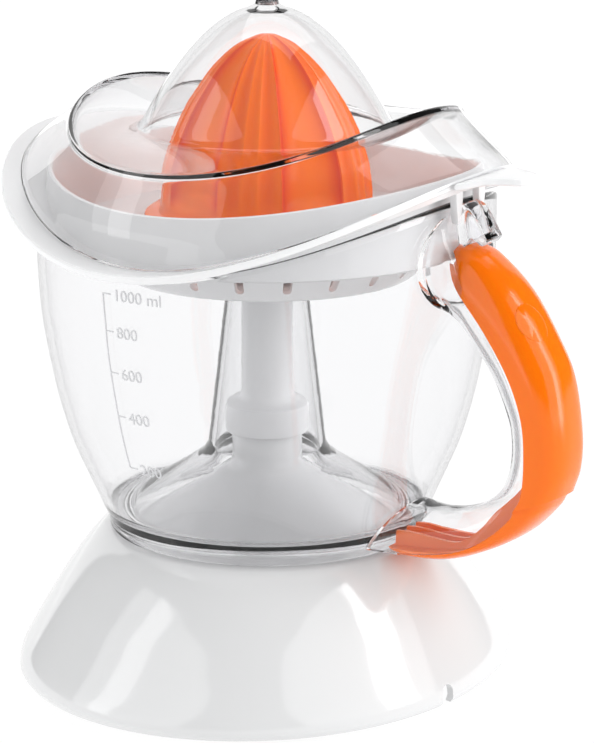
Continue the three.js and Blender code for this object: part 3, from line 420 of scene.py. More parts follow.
def blended(nodes, link, amount, low, high, kind="FLOAT", blend_type="MIX"):
    """The result of a mix node between two numbers or two colours."""
    node = nodes.new("ShaderNodeMix")
    node.data_type = kind
    node.blend_type = blend_type
    first = 6 if kind == "RGBA" else 2
    for place, value in ((0, amount), (first, low), (first + 1, high)):
        give(link, node.inputs[place], value)
    return node.outputs[2 if kind == "RGBA" else 0]


def give(link, socket, value):
    if isinstance(value, bpy.types.NodeSocket):
        link(value, socket)
    else:
        socket.default_value = value


def skin_group():
    """Moulded plastic: slight mottling, a roughness that drifts, and the fine grain of the mould."""
    name = "Moulded skin"
    if name in bpy.data.node_groups:
        return bpy.data.node_groups[name]
    number, tint = "NodeSocketFloat", "NodeSocketColor"
    group, given, result = new_group(
        name,
        [("Colour", tint), ("Mottle", number), ("Roughness", number), ("Drift", number), ("Grain", number)],
        [("Colour", tint), ("Roughness", number), ("Height", number)],
    )
    nodes, link = group.nodes, group.links.new
    place = nodes.new("ShaderNodeTexCoord").outputs["Object"]
    broad = nodes.new("ShaderNodeTexNoise")
    broad.inputs["Scale"].default_value = 22.0
    broad.inputs["Detail"].default_value = 3.0
    fine = nodes.new("ShaderNodeTexNoise")
    fine.inputs["Detail"].default_value = 5.0
    link(given.outputs["Grain"], fine.inputs["Scale"])
    for noise in (broad, fine):
        link(place, noise.inputs["Vector"])
    shade = nodes.new("ShaderNodeMapRange")
    shade.inputs["To Min"].default_value = 0.72
    shade.inputs["To Max"].default_value = 1.0
    link(broad.outputs["Fac"], shade.inputs["Value"])
    tinted = blended(
        nodes, link, given.outputs["Mottle"], given.outputs["Colour"], shade.outputs["Result"],
        "RGBA", "MULTIPLY",
    )
    link(tinted, result.inputs["Colour"])
    roughness = given.outputs["Roughness"]
    for noise in (fine, broad):
        roughness = maths(nodes, link, "MULTIPLY_ADD", noise.outputs["Fac"], given.outputs["Drift"], roughness)
    link(roughness, result.inputs["Roughness"])
    link(fine.outputs["Fac"], result.inputs["Height"])
    return group


def plastic(name, tint, roughness, mottle=0.06, drift=0.03, grain=900.0, relief=0.00001, **sockets):
    """A material of its own name: the shared skin feeds colour, roughness and bump of one shader."""
    if name in bpy.data.materials:
        return bpy.data.materials[name]
    material = bpy.data.materials.new(name)
    material.use_nodes = True
    nodes, link = tree_of(material)
    shader = nodes["Principled BSDF"]
    skin = nodes.new("ShaderNodeGroup")
    skin.node_tree = skin_group()
    skin.inputs["Colour"].default_value = (*tint, 1.0)
    skin.inputs["Mottle"].default_value = mottle
    skin.inputs["Roughness"].default_value = max(0.0, roughness - drift)
    skin.inputs["Drift"].default_value = drift
    skin.inputs["Grain"].default_value = grain
    bump = nodes.new("ShaderNodeBump")
    bump.inputs["Strength"].default_value = 0.5
    bump.inputs["Distance"].default_value = relief
    link(skin.outputs["Colour"], shader.inputs["Base Color"])
    link(skin.outputs["Roughness"], shader.inputs["Roughness"])
    link(skin.outputs["Height"], bump.inputs["Height"])
    link(bump.outputs["Normal"], shader.inputs["Normal"])
    for socket, value in sockets.items():
        shader.inputs[socket.replace("_", " ")].default_value = value
    return material


def white_plastic():
    finish = bpy.context.scene.juicer_finishes
    return plastic(
        "White gloss plastic", finish.white, finish.gloss, mottle=0.04, Coat_Weight=0.35, Coat_Roughness=0.04,
        IOR=1.5,
    )


def satin_white():
    finish = bpy.context.scene.juicer_finishes
    return plastic("White satin plastic", finish.satin, 0.24, mottle=0.05, relief=0.00002, IOR=1.5)


def orange_plastic(name="Orange gloss plastic", gloss=0.5):
    finish = bpy.context.scene.juicer_finishes
    return plastic(
        name, finish.orange, 0.14, mottle=0.08, IOR=1.45, Specular_IOR_Level=gloss, Subsurface_Weight=0.2,
        Subsurface_Radius=(1.0, 0.12, 0.03), Subsurface_Scale=0.002,
    )


def tint_further(nodes, link, shader, amount, tint):
    """Mixes another tint into what already feeds the shader's colour."""
    base = shader.inputs["Base Color"]
    link(blended(nodes, link, amount, base.links[0].from_socket, (*tint, 1.0), "RGBA"), base)


def reamer_plastic():
    """The orange, with painted shade of a deeper red in the creases and hollows that the reamer's mesh marks."""
    finish = bpy.context.scene.juicer_finishes
    material = orange_plastic("Orange reamer plastic", 0.3)
    nodes, link = tree_of(material)
    shader = nodes["Principled BSDF"]
    hollow = nodes.new("ShaderNodeAttribute")
    hollow.attribute_name = "hollow"
    tint_further(nodes, link, shader, hollow.outputs["Fac"], finish.painted_shade_orange)
    return material


def clear_plastic(name="Clear jug plastic", depth_share=1.0):
    """Clear plastic with painted shade at its edges, where its surface turns away from the view, which also
    darkens along long ways through it.
    """
    finish = bpy.context.scene.juicer_finishes
    if name in bpy.data.materials:
        return bpy.data.materials[name]
    material = plastic(
        name, finish.clear, finish.clear_gloss, mottle=0.02, drift=0.008, grain=260.0, relief=0.00002,
        Transmission_Weight=1.0, IOR=1.49,
    )
    nodes, link = tree_of(material)
    shader = nodes["Principled BSDF"]
    # Painted shade at the edges, by how far the surface turns away from the view
    facing = nodes.new("ShaderNodeLayerWeight").outputs["Facing"]
    painted_edge_shade = maths(nodes, link, "POWER", facing, finish.painted_edge_reach)
    tint_further(nodes, link, shader, painted_edge_shade, finish.edge)
    in_shadow = nodes.new("ShaderNodeLightPath").outputs["Is Shadow Ray"]
    link(maths(nodes, link, "MULTIPLY_ADD", in_shadow, -finish.let_through, 1.0), shader.inputs["Alpha"])
    depth = nodes.new("ShaderNodeVolumeAbsorption")
    depth.inputs["Color"].default_value = (*finish.depth, 1.0)
    depth.inputs["Density"].default_value = finish.depth_density * depth_share
    link(depth.outputs["Volume"], nodes["Material Output"].inputs["Volume"])
    return material


def cad_finishes():
    """The finishes of the CAD pieces, by the material slot in the record."""
    finish = bpy.context.scene.juicer_finishes
    return {
        "housing_white": white_plastic(),
        "plate_white": satin_white(),
        "strainer_white": satin_white(),
        "dark_rubber": plastic("Dark rubber", finish.rubber, 0.62, mottle=0.3, drift=0.12, relief=0.0001),
        "steel": plastic(
            "Bright steel", finish.steel, 0.26, mottle=0.2, drift=0.08, grain=1500.0, Metallic=1.0,
        ),
        "brass": plastic("Brass", finish.brass, 0.28, mottle=0.25, drift=0.08, grain=1500.0, Metallic=1.0),
        "copper_wire": plastic(
            "Enamelled copper", finish.copper, 0.3, mottle=0.35, drift=0.1, grain=700.0, Metallic=0.8,
            Coat_Weight=0.6, Coat_Roughness=0.1,
        ),
        "gear_plastic": plastic("Nylon", finish.nylon, 0.42, mottle=0.1, drift=0.05, relief=0.00003),
        "dark_plastic": plastic("Dark plastic", finish.dark, 0.4, mottle=0.2, drift=0.06, relief=0.00004),
        "button_red": plastic("Red plastic", finish.red, 0.3, mottle=0.1),
        "orange_plastic": orange_plastic(),
        "clear_plastic": clear_plastic(),
    }


# ---------------------------------------------------------------- outlines of the large pieces

def base_skin(size):
    """Outer skin of the base, from its lower edge up to the deck."""
    shape = [
        (85.7, 2.4), (86.2, 3.6), (85.7, 7.0), (84.2, 10.5), (80.0, 17.6), (76.9, 22.5), (72.4, 29.5),
        (68.6, 34.8), (64.6, 40.0), (60.7, 44.4), (57.6, 47.2), (55.4, 48.6),
    ]
    drawn_deck, drawn_skirt, drawn_height = 54.8, 86.2, 49.0
    points = []
    for radius, height in shape:
        out = (radius - drawn_deck) / (drawn_skirt - drawn_deck)
        points.append((
            mix(size.deck_radius, size.skirt_radius, out), height * size.deck_height / drawn_height,
            -size.skirt_oval * max(0.0, out), 0.0,
        ))
    return curve_through(points, 3)


def jug_skin(size):
    """Outer skin of the jug, from the ring under it up to the rim."""
    shape = [
        (0.0, 0.012), (0.0, 0.03), (0.09, 0.07), (0.235, 0.14), (0.5, 0.27), (0.65, 0.37), (0.765, 0.47),
        (0.92, 0.65), (0.972, 0.77), (0.992, 0.86), (0.998, 0.93), (1.0, 0.992),
    ]
    span = size.jug_rim_height - size.jug_foot_height
    wave_from, wave_span, rim_from = 0.74, 0.26, 0.99
    points = []
    for out, up in shape:
        rise = size.jug_rim_wave * ease((up - wave_from) / wave_span) if up < rim_from else size.jug_rim_wave
        points.append((
            mix(size.jug_foot_radius, size.jug_rim_radius, out), size.jug_foot_height + span * up,
            -size.jug_rim_oval * up, rise,
        ))
    return curve_through(points, 4)


def cover_skin(size):
    """Outer skin of the cover, from the top of the dome out over the ridge to the lower edge."""
    high = size.dome_top
    drop = high - size.dome_base
    dome = []
    for out in (0.15, 0.22, 0.3, 0.38, 0.46, 0.54, 0.62, 0.7, 0.78, 0.86, 0.93, 0.98):
        dome.append((size.dome_radius * out, high - drop * out * out, 0, 0))
    foot = size.dome_radius
    knob = profile((0, high + 2.15), (2.6, high + 2.1), (3.5, high + 1.7), (3.9, high + 1.0), (4.0, high + 0.2))
    shoulder = [
        (foot + 0.1, size.dome_base + 0.3, 0, 0.0), (foot + 0.9, size.dome_base - 0.6, -0.1, 0.1),
        (foot + 2.6, size.dome_base - 0.7, -0.3, 0.4), (50.5, 187.0, -1.5, 2.0), (58.5, 188.4, -3.6, 4.9),
        (64.6, 189.6, -5.3, 7.2), (65.9, 190.0, -5.6, 7.6), (66.5, 189.9, -5.7, 7.6), (66.9, 189.3, -5.6, 7.6),
        (67.7, 187.8, -5.4, 7.8), (72.2, 181.6, -3.6, 8.9), (76.4, 175.4, -1.2, 10.6), (79.4, 169.9, 1.4, 12.3),
        (81.2, 166.0, 3.0, 13.1),
    ]
    return knob + curve_through(dome + shoulder, 3)


# Handle lines in the plane of the handle, each as X, height of the open edge, X, height of the finger
# edge, half of the width, how far the arch wraps round in degrees, and how round it is
CHANNEL_ROWS = [
    (75.0, 166.0, 75.5, 133.5, 22.5, 152.0, 1.0), (77.0, 163.5, 77.0, 132.5, 19.0, 140.0, 0.95),
    (79.0, 157.0, 80.0, 129.5, 14.8, 116.0, 0.88), (83.5, 143.5, 84.5, 124.0, 11.6, 98.0, 0.82),
    (91.5, 131.0, 89.0, 117.0, 10.3, 90.0, 0.8), (97.5, 122.0, 92.7, 111.0, 10.0, 90.0, 0.8),
    (102.5, 112.0, 96.3, 103.0, 10.0, 90.0, 0.8), (106.0, 103.6, 98.2, 96.0, 10.0, 90.0, 0.8),
    (107.3, 90.3, 98.0, 86.0, 10.0, 90.0, 0.8), (106.5, 78.3, 94.5, 77.0, 10.0, 90.0, 0.8),
    (101.8, 69.3, 88.0, 71.2, 10.0, 90.0, 0.8), (93.6, 61.6, 80.0, 67.6, 10.5, 90.0, 0.82),
    (83.7, 55.7, 72.0, 66.0, 12.0, 90.0, 0.86), (74.0, 53.4, 65.5, 65.8, 14.5, 90.0, 0.93),
    (60.0, 52.0, 60.5, 66.6, 17.5, 90.0, 1.0),
]
# Grip lines: X and height of the inner side, X and height of the crown, and half of the width
GRIP_ROWS = [
    (75.5, 151.5, 78.0, 158.8, 9.5), (81.0, 143.0, 88.5, 153.0, 11.6), (91.5, 131.0, 99.9, 143.0, 12.4),
    (100.8, 117.0, 109.5, 129.0, 12.4), (106.0, 103.6, 115.8, 116.5, 12.4), (107.3, 90.3, 119.2, 97.6, 12.4),
    (106.5, 78.3, 118.9, 86.0, 12.4), (103.6, 72.6, 116.4, 77.6, 12.4),
]
TOE_ROWS = [
    (103.6, 72.6, 114.6, 76.8, 11.6), (101.8, 69.3, 112.0, 72.2, 11.6), (93.6, 61.6, 103.4, 63.2, 11.6),
    (83.7, 55.7, 93.0, 56.6, 11.6), (70.0, 52.8, 79.4, 50.8, 11.4), (59.5, 52.0, 66.0, 48.7, 10.8),
    (55.4, 51.8, 58.6, 49.4, 9.6),
]
# Ribs in the channel: X and height of the grip's inner side and of the finger edge, and how far they reach
RIB_ROWS = [
    (107.0, 84.0, 96.5, 81.0, 0.02), (106.5, 78.3, 94.5, 77.0, 0.3), (101.8, 69.3, 88.0, 71.2, 0.46),
    (93.6, 61.6, 80.0, 67.6, 0.3), (83.7, 55.7, 72.0, 66.3, 0.16), (74.0, 53.4, 65.5, 66.6, 0.24),
    (62.5, 52.4, 60.5, 66.0, 0.34), (56.5, 52.0, 56.8, 65.0, 0.36),
]


def pressed(point, skin, clear):
    """The point moved along X onto the outer skin of the jug, with a clearance."""
    radius = radius_at(skin, point.z, wave_at(point.x, point.y)) + clear
    return Vector((math.sqrt(max(1.0, radius ** 2 - point.y ** 2)), point.y, point.z))


def arch(row, half, depth, power, steps, shrink=0.0, wrap=90.0):
    """An arch from one open edge round to the other: depth is measured from the row's first point."""
    start, towards = Vector((row[0], 0, row[1])), Vector((row[2], 0, row[3]))
    away = (towards - start).normalized()
    back = rounded(math.cos(math.radians(wrap)), power)
    points = []
    for k in range(steps + 1):
        turn = math.radians(wrap) * (2 * k / steps - 1)
        side = (half - shrink) * rounded(math.sin(turn), power)
        reach = (depth - shrink) * (rounded(math.cos(turn), power) - back) / (1 - back)
        points.append(start + away * max(0.0, reach) + Vector((0, side, 0)))
    return points


def span_of(row):
    return math.hypot(row[2] - row[0], row[3] - row[1])


# ---------------------------------------------------------------- operators

class JUICER_OT_base(Operator):
    """Build the white motor base with its drip cone, boss and cord notch"""

    bl_idname = "juicer.base"
    bl_label = "Base"

    def execute(self, context):
        size = sizes_in_mm()
        skin = base_skin(size)
        deck, boss, top = size.deck_height, size.boss_radius, size.boss_top
        rim = profile((82.8, 1.5, -5.4, 0), (84.9, 1.5, -5.5, 0))
        inside = wall_behind(skin, -size.base_wall)
        upper = profile(
            (53.6, deck), (46.6, deck), (45.4, deck + 0.4), (16.4, 66.2), (13.6, 67.9), (boss + 0.2, 70.4),
            (boss, 72.5), (boss, top - 1.0), (boss - 0.3, top - 0.3), (boss - 1.0, top), (7.6, top),
            (7.4, top - 0.3), (7.4, 76.4), (8.6, 75.0), (9.4, 72.0), (11.4, 67.0), (42.8, deck - 2.3),
            (52.6, deck - 2.5),
        )
        shell = blank("white_base_shell", spun(rim + skin + upper + inside[::-1], closed=True))
        notch_place, notch_drop, notch_turn = (84.0, 0, 5.7), 12.0, -8
        notch = rod(radius=2.8, long=22.0, sides=32, axis="Y", degrees=90)
        for vert in notch.verts:
            if vert.co.z < 0:
                vert.co.z -= notch_drop
        move(notch, notch_place)
        bmesh.ops.rotate(notch, verts=notch.verts, matrix=turned("Z", notch_turn))
        combine(shell, "DIFFERENCE", [blank("cord_notch_cut", notch)])
        dress(shell, white_plastic(), "base", "housing_white", "base_housing")
        return {"FINISHED"}


class JUICER_OT_feet(Operator):
    """Build the four rubber feet"""

    bl_idname = "juicer.feet"
    bl_label = "Feet"

    def execute(self, context):
        rubber = cad_finishes()["dark_rubber"]
        outline = profile(
            (0, 0.5), (3.2, 0.5), (3.6, 0.1), (6.4, 0.0), (7.4, 0.35), (7.95, 1.1), (8.0, 2.4), (7.9, 3.2),
            (7.4, 3.6), (0, 3.7),
        )
        for i in range(4):
            low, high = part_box(f"rubber_foot_{i + 1}")
            foot = spun(outline, closed=False, steps=48)
            middle = (low + high) / 2
            move(foot, ((middle.x - AXIS_X) / MM, middle.y / MM, 0))
            piece = blank(f"round_foot_{i + 1}", foot)
            settle(piece)
            dress(piece, rubber, "base", "dark_rubber", f"rubber_foot_{i + 1}")
        return {"FINISHED"}


class JUICER_OT_jug(Operator):
    """Build the clear jug with its raised floor, middle tube and spout"""

    bl_idname = "juicer.jug"
    bl_label = "Jug"

    def execute(self, context):
        size = sizes_in_mm()
        skin = jug_skin(size)
        foot, wall, top, wave = size.jug_foot_height, size.jug_wall, size.tube_top, size.jug_rim_wave
        under = profile((49.6, foot), (53.0, foot), (53.7, foot + 0.4))
        floor_depth, spout_from, spout_half_turn = 8.5, 0.8, 0.38
        inside = [p for p in wall_behind(skin, -wall) if p.y > foot + floor_depth]
        edge = inside[-1].copy()
        tip = size.jug_rim_height
        lip = [
            Vector((size.jug_rim_radius - 0.5, tip - 0.15, -size.jug_rim_oval, wave)),
            Vector((size.jug_rim_radius - 1.2, tip, -size.jug_rim_oval, wave)),
            Vector((edge.x + 0.5, tip - 0.15, -size.jug_rim_oval, wave)),
        ]
        floor = profile(
            (51.6, foot + 7.6), (48.5, foot + 7.9), (46.0, foot + 8.9), (24.4, foot + 23.2),
            (21.6, foot + 25.4), (20.0, foot + 28.4), (13.3, top - 1.0), (13.1, top - 0.3), (12.6, top),
            (11.7, top), (11.25, top - 0.4), (11.3, top - 1.0), (18.0, foot + 26.4), (19.4, foot + 22.8),
            (22.6, foot + 20.4), (43.4, foot + 6.8), (47.4, foot + 4.6), (48.7, foot + 3.0), (49.2, foot + 0.6),
        )
        shape = spun(under + skin + lip + inside[::-1] + floor, closed=True)
        start = foot + (size.jug_rim_height - foot) * spout_from
        for vert in shape.verts:
            away = abs(math.atan2(vert.co.y, -vert.co.x)) / spout_half_turn
            if away < 1 and vert.co.z > start:
                pour = ease((vert.co.z - start) / (size.jug_rim_height + wave - start))
                vert.co.x -= size.spout_reach * pour * (1 + math.cos(math.pi * away)) / 2
        jug = blank("clear_jug", shape)
        settle(jug)
        dress(jug, clear_plastic(), "jug", "clear_plastic", "jug_bowl")
        return {"FINISHED"}


class JUICER_OT_marks(Operator):
    """Build the raised level marks and numbers on the wall of the jug"""

    bl_idname = "juicer.marks"
    bl_label = "Level marks"

    def execute(self, context):
        size = sizes_in_mm()
        skin = jug_skin(size)
        finish = context.scene.juicer_finishes
        marks = bmesh.new()
        low, high, line_wide, line_thick, tick_long = 82.8, 143.5, 0.42, 0.3, 3.2
        letter_size, letters_along, letters_down, clearance = 5.6, 4.4, 1.9, 0.16
        add_bar(marks, (line_wide, high - low, line_thick), (0, (low + high) / 2, 0))
        upright = [e for e in marks.edges if abs(e.verts[0].co.y - e.verts[1].co.y) > 1]
        bmesh.ops.subdivide_edges(marks, edges=upright, cuts=23, use_grid_fill=True)
        levels = [("200", low), ("400", 101.4), ("600", 116.7), ("800", 130.9), ("1000 ml", high)]
        for words, height in levels:
            add_bar(marks, (tick_long, line_wide, line_thick), (tick_long / 2, height, 0))
            letters = bpy.data.curves.new("level_number", "FONT")
            letters.body = words
            letters.size = letter_size
            letters.extrude = line_thick / 2
            letters.resolution_u = 3
            holder = bpy.data.objects.new("level_number", letters)
            context.scene.collection.objects.link(holder)
            flat = bpy.data.meshes.new_from_object(holder.evaluated_get(context.evaluated_depsgraph_get()))
            count = len(marks.verts)
            marks.from_mesh(flat)
            marks.verts.ensure_lookup_table()
            bmesh.ops.translate(marks, vec=(letters_along, height - letters_down, 0), verts=marks.verts[count:])
            bpy.data.objects.remove(holder)
            bpy.data.meshes.remove(flat)
            bpy.data.curves.remove(letters)
        start = math.radians(-97)  # of the upright line, from the handle
        for vert in marks.verts:
            across, height, out = vert.co
            radius = radius_at(skin, height, math.cos(2 * start))
            turn = start + across / radius
            radius = radius_at(skin, height, math.cos(2 * turn)) + out + clearance
            vert.co = (radius * math.cos(turn), radius * math.sin(turn), height)
        piece = blank("level_marks", marks)
        settle(piece)
        # Light grey of painted shade on the clear raised marks
        painted_shade_grey = plastic("Moulded marks", finish.marks, 0.5, mottle=0.15, drift=0.05)
        dress(piece, painted_shade_grey, "jug", "clear_plastic")
        return {"FINISHED"}


class JUICER_OT_channel(Operator):
    """Build the clear channel of the handle and its neck"""

    bl_idname = "juicer.channel"
    bl_label = "Handle channel"

    def execute(self, context):
        size = sizes_in_mm()
        skin = jug_skin(size)
        arch_steps, clearance, neck_wide = 28, 0.2, 11.0
        rings = []
        for row in curve_through(CHANNEL_ROWS, 5):
            outer, inner = (
                arch(row, row[4], span_of(row), row[6], arch_steps, shrink=shrink, wrap=row[5])
                for shrink in (0.0, size.handle_wall)
            )
            rings.append(outer + inner[::-1])
        for last in (0, -1):
            rings[last] = [pressed(point, skin, clearance) for point in rings[last]]
        channel = blank("clear_handle", swept(rings))
        outline = [
            (78.6, 150.0), (77.0, 162.0), (77.0, 169.3), (79.0, 170.0), (81.8, 168.6), (84.2, 165.8),
            (88.3, 158.8), (86.4, 156.6), (82.4, 159.2), (80.0, 156.6),
        ]
        neck = plate([(x, -neck_wide / 2, z) for x, z in outline], (0, neck_wide, 0), bevel=0.8, segments=3)
        combine(channel, "UNION", [blank("neck", neck)])
        dress(channel, clear_plastic("Clear handle plastic", 0.5), "jug", "clear_plastic", "jug_handle")
        return {"FINISHED"}


class JUICER_OT_grip(Operator):
    """Build the orange grip with its lower seam, its ribs and the oval badge seat"""

    bl_idname = "juicer.grip"
    bl_label = "Grip"

    def execute(self, context):
        # The first rings close the upper end in a round, from these shares of their width and depth
        end_rings, end_step, end_width, end_depth = 5, 0.6, 0.45, 0.35
        arch_power, arch_steps = 0.74, 40
        rings = []
        for part, rows in enumerate((GRIP_ROWS, TOE_ROWS)):
            for i, row in enumerate(curve_through(rows, 6)):
                half, depth = row[4], span_of(row)
                if part == 0 and i < end_rings:
                    grow = math.sqrt(1 - (1 - (i + end_step) / (end_rings + end_step)) ** 2)
                    half *= mix(end_width, 1, grow)
                    depth *= mix(end_depth, 1, grow)
                rings.append(arch(row, half, depth, arch_power, arch_steps))
        grip = blank("orange_grip", swept(rings))
        soften(grip, 0.7, segments=3, angle=35)
        settle(grip)
        ribs = []
        rib_root, rib_half, rib_taper = 1.5, 0.95, 0.7
        for side in (-6.0, 0.0, 6.0):
            rings = []
            for row in curve_through(RIB_ROWS, 4):
                inner, finger = Vector((row[0], side, row[1])), Vector((row[2], side, row[3]))
                away = finger - inner
                root, tip = inner - away.normalized() * rib_root, inner + away * row[4]
                thick = Vector((0, rib_half, 0))
                rings.append([root - thick, root + thick, tip + thick * rib_taper, tip - thick * rib_taper])
            ribs.append(blank("channel_rib", swept(rings)))
        combine(grip, "UNION", ribs)
        finish = orange_plastic()
        surface = BVHTree.FromObject(grip, context.evaluated_depsgraph_get())
        half_long, half_wide, far_off, rim_from, rim_sunk, face_raised = 7.0, 5.0, 30.0, 0.97, -0.1, 0.22
        badge = bmesh.new()
        bmesh.ops.create_circle(badge, cap_ends=True, segments=64, radius=1.0)
        centre = Vector((101.3, 0, 131.0))
        along = Vector((0.64, 0, -0.77)).normalized()
        outward = Vector((along.z * -0.72, -0.7, along.x * 0.72)).normalized()
        third = outward.cross(along).normalized()
        along = third.cross(outward).normalized()
        bmesh.ops.inset_individual(badge, faces=badge.faces, thickness=0.08, use_even_offset=True)
        bmesh.ops.poke(badge, faces=[f for f in badge.faces if len(f.verts) > 4])
        rays = {}
        for vert in badge.verts:
            spot = centre + along * vert.co.x * half_long + third * vert.co.y * half_wide + outward * far_off
            far = Vector((spot.x * MM + AXIS_X, spot.y * MM, spot.z * MM))
            hit = surface.ray_cast(far, -outward)[0]
            if hit is None:
                raise RuntimeError("the badge misses the grip")
            rays[vert] = Vector(((hit.x - AXIS_X) / MM, hit.y / MM, hit.z / MM))
        for vert, hit in rays.items():
            vert.co = hit + outward * (rim_sunk if vert.co.xy.length > rim_from else face_raised)
        under = bmesh.ops.extrude_face_region(badge, geom=badge.faces[:])["geom"]
        bmesh.ops.translate(badge, vec=-outward, verts=verts_of(under))
        oval = blank("oval_badge", badge)
        settle(oval)
        dress(grip, finish, "jug", "orange_plastic", "handle_grip")
        dress(oval, finish, "jug", "orange_plastic", "grip_badge")
        return {"FINISHED"}


class JUICER_OT_strainer(Operator):
    """Build the white strainer with its slots, clips and lifting tongue"""

    bl_idname = "juicer.strainer"
    bl_label = "Strainer"

    def execute(self, context):
        size = sizes_in_mm()
        edge = size.flange_radius
        outline = profile(
            (9.7, 138.6), (9.7, 150.4), (10.2, 151.0), (11.6, 151.0), (12.2, 150.4), (12.7, 142.4),
            (13.6, 140.8), (15.6, 140.2), (45.6, 140.2), (47.6, 140.6), (49.0, 141.8), (53.4, 148.2),
            (54.8, 149.6), (57.0, 150.4), (67.2, 152.0), (69.2, 152.7), (70.2, 154.6), (70.5, 160.0, 0, 1.2),
            (70.6, 171.8, 0, 3.9), (70.9, 172.5, 0, 3.9), (71.6, 172.8, 0, 3.9), (72.3, 172.4, 0, 3.9),
            (72.5, 171.6, 0, 3.9), (72.7, 166.0, 0, 8.4), (73.2, 164.0, 0, 10.5), (74.6, 163.4, 0, 11.1),
            (80.0, 164.5, 0, 12.2), (84.6, 165.4, 0, 13.1), (edge - 1.2, 166.2, 0, 13.8),
            (edge - 0.4, 166.3, 0, 14.0), (edge, 165.8, 0, 14.0), (edge, 164.4, 0, 14.0),
            (edge - 0.4, 163.9, 0, 14.0), (edge - 1.2, 163.8, 0, 14.0), (edge - 1.7, 164.0, 0, 13.7),
            (edge - 3.0, 164.0, 0, 13.2), (81.5, 163.1, 0, 11.9), (74.0, 161.9, 0, 10.6),
            (72.5, 160.6, 0, 10.0), (72.2, 150.2, 0, 0), (71.4, 149.5), (58.2, 147.6), (56.2, 146.6),
            (51.2, 139.2), (49.8, 138.2), (48.4, 138.0), (10.4, 138.0),
        )
        shape = spun(outline, closed=True)
        narrow_from, narrow_reach = 81.5, 0.55
        for vert in shape.verts:
            radius = vert.co.xy.length
            if radius > narrow_from:
                drawn_in = size.flange_narrowing * ease(vert.co.x / radius / narrow_reach)
                vert.co.xy *= 1 - drawn_in * (radius - narrow_from) / (edge - narrow_from) / radius
        body = blank("white_strainer", shape)
        slot_count, slot_up, slot_down, slot_place = 22, 3.6, -2.2, (53.0, 0, 144.9)
        slots = rod(radius=1.5, long=18.0, sides=16, axis="Y", degrees=90)
        for vert in slots.verts:
            vert.co.z += slot_up if vert.co.z > 0 else slot_down
        move(slots, slot_place)
        bmesh.ops.spin(
            slots, geom=slots.faces[:], cent=(0, 0, 0), axis=(0, 0, 1), angle=FULL_TURN, steps=slot_count,
            use_duplicate=True,
        )
        bmesh.ops.remove_doubles(slots, verts=slots.verts, dist=SAME_PLACE)
        combine(body, "DIFFERENCE", [blank("slot_cut", slots)])
        parts = []
        reach, top, thick, root_at, root_long, root_drop = size.wing_reach, 180.6, 2.4, 92.0, 9.0, 1.6
        wing = [
            (83.0, -17.5), (86.0, -15.2), (90.0, -11.4), (94.5, -8.6), (99.0, -6.9), (reach - 0.9, -5.8),
            (reach, -4.4),
        ]
        wing += [(x, -y) for x, y in reversed(wing)]
        tongue = plate([(x, y, top - thick) for x, y in wing], (0, 0, thick), bevel=0.7, segments=3)
        for vert in tongue.verts:
            vert.co.z -= root_drop * ease((root_at - vert.co.x) / root_long)
        parts.append(blank("tongue", tongue))
        prong_at, prong_thick = 76.6, 2.6
        for middle in (-7, 7):
            prong = [
                (middle - 2.2, 175.0), (middle + 2.2, 175.0), (middle + 2.1, 171.5), (middle + 0.9, 163.8),
                (middle - 0.9, 163.8), (middle - 2.1, 171.5),
            ]
            outline = [(prong_at, y, z) for y, z in prong]
            parts.append(blank("prong", plate(outline, (prong_thick, 0, 0), bevel=0.35)))
        combine(body, "UNION", parts)
        dress(body, satin_white(), "strainer_unit", "strainer_white", "strainer", "strainer_floor")
        return {"FINISHED"}


# The reamer's ribs stand in five groups. In degrees: half of what a group takes of the round, and how far
# the middle of the first group is turned back from the handle
HALF_GROUP = 36.0
FIRST_GROUP = 65.5


def rib_cut(turn):
    """How deep the reamer is cut, from 0 on a rib to 1 in a panel, by the degrees from a group's middle."""
    edge, inner = 17.5, 4.5
    if turn < inner:
        return 0.2 - 0.12 * turn / inner
    if turn < edge:
        way = (turn - inner) / (edge - inner)
        return 0.3 * math.sin(math.pi * way) ** 0.8 + mix(0.08, 0, way)
    return 1 - ((HALF_GROUP - turn) / (HALF_GROUP - edge)) ** 2.6


def painted_shade_by_turn(turn):
    """How much painted shade darkens the reamer's colour, by the degrees from a group's middle: most in the
    creases beside the outer ribs, none on the crests.
    """
    row = [
        (0, 0.2), (2.5, 0.15), (4.5, 0.0), (6.5, 0.25), (11, 0.35), (14.5, 0.15), (17, 0.0), (18.5, 0.9),
        (21, 0.55), (25, 0.2), (HALF_GROUP, 0.05),
    ]
    for (low, before), (high, after) in zip(row, row[1:]):
        if turn <= high:
            return mix(before, after, (turn - low) / (high - low))
    return row[-1][1]


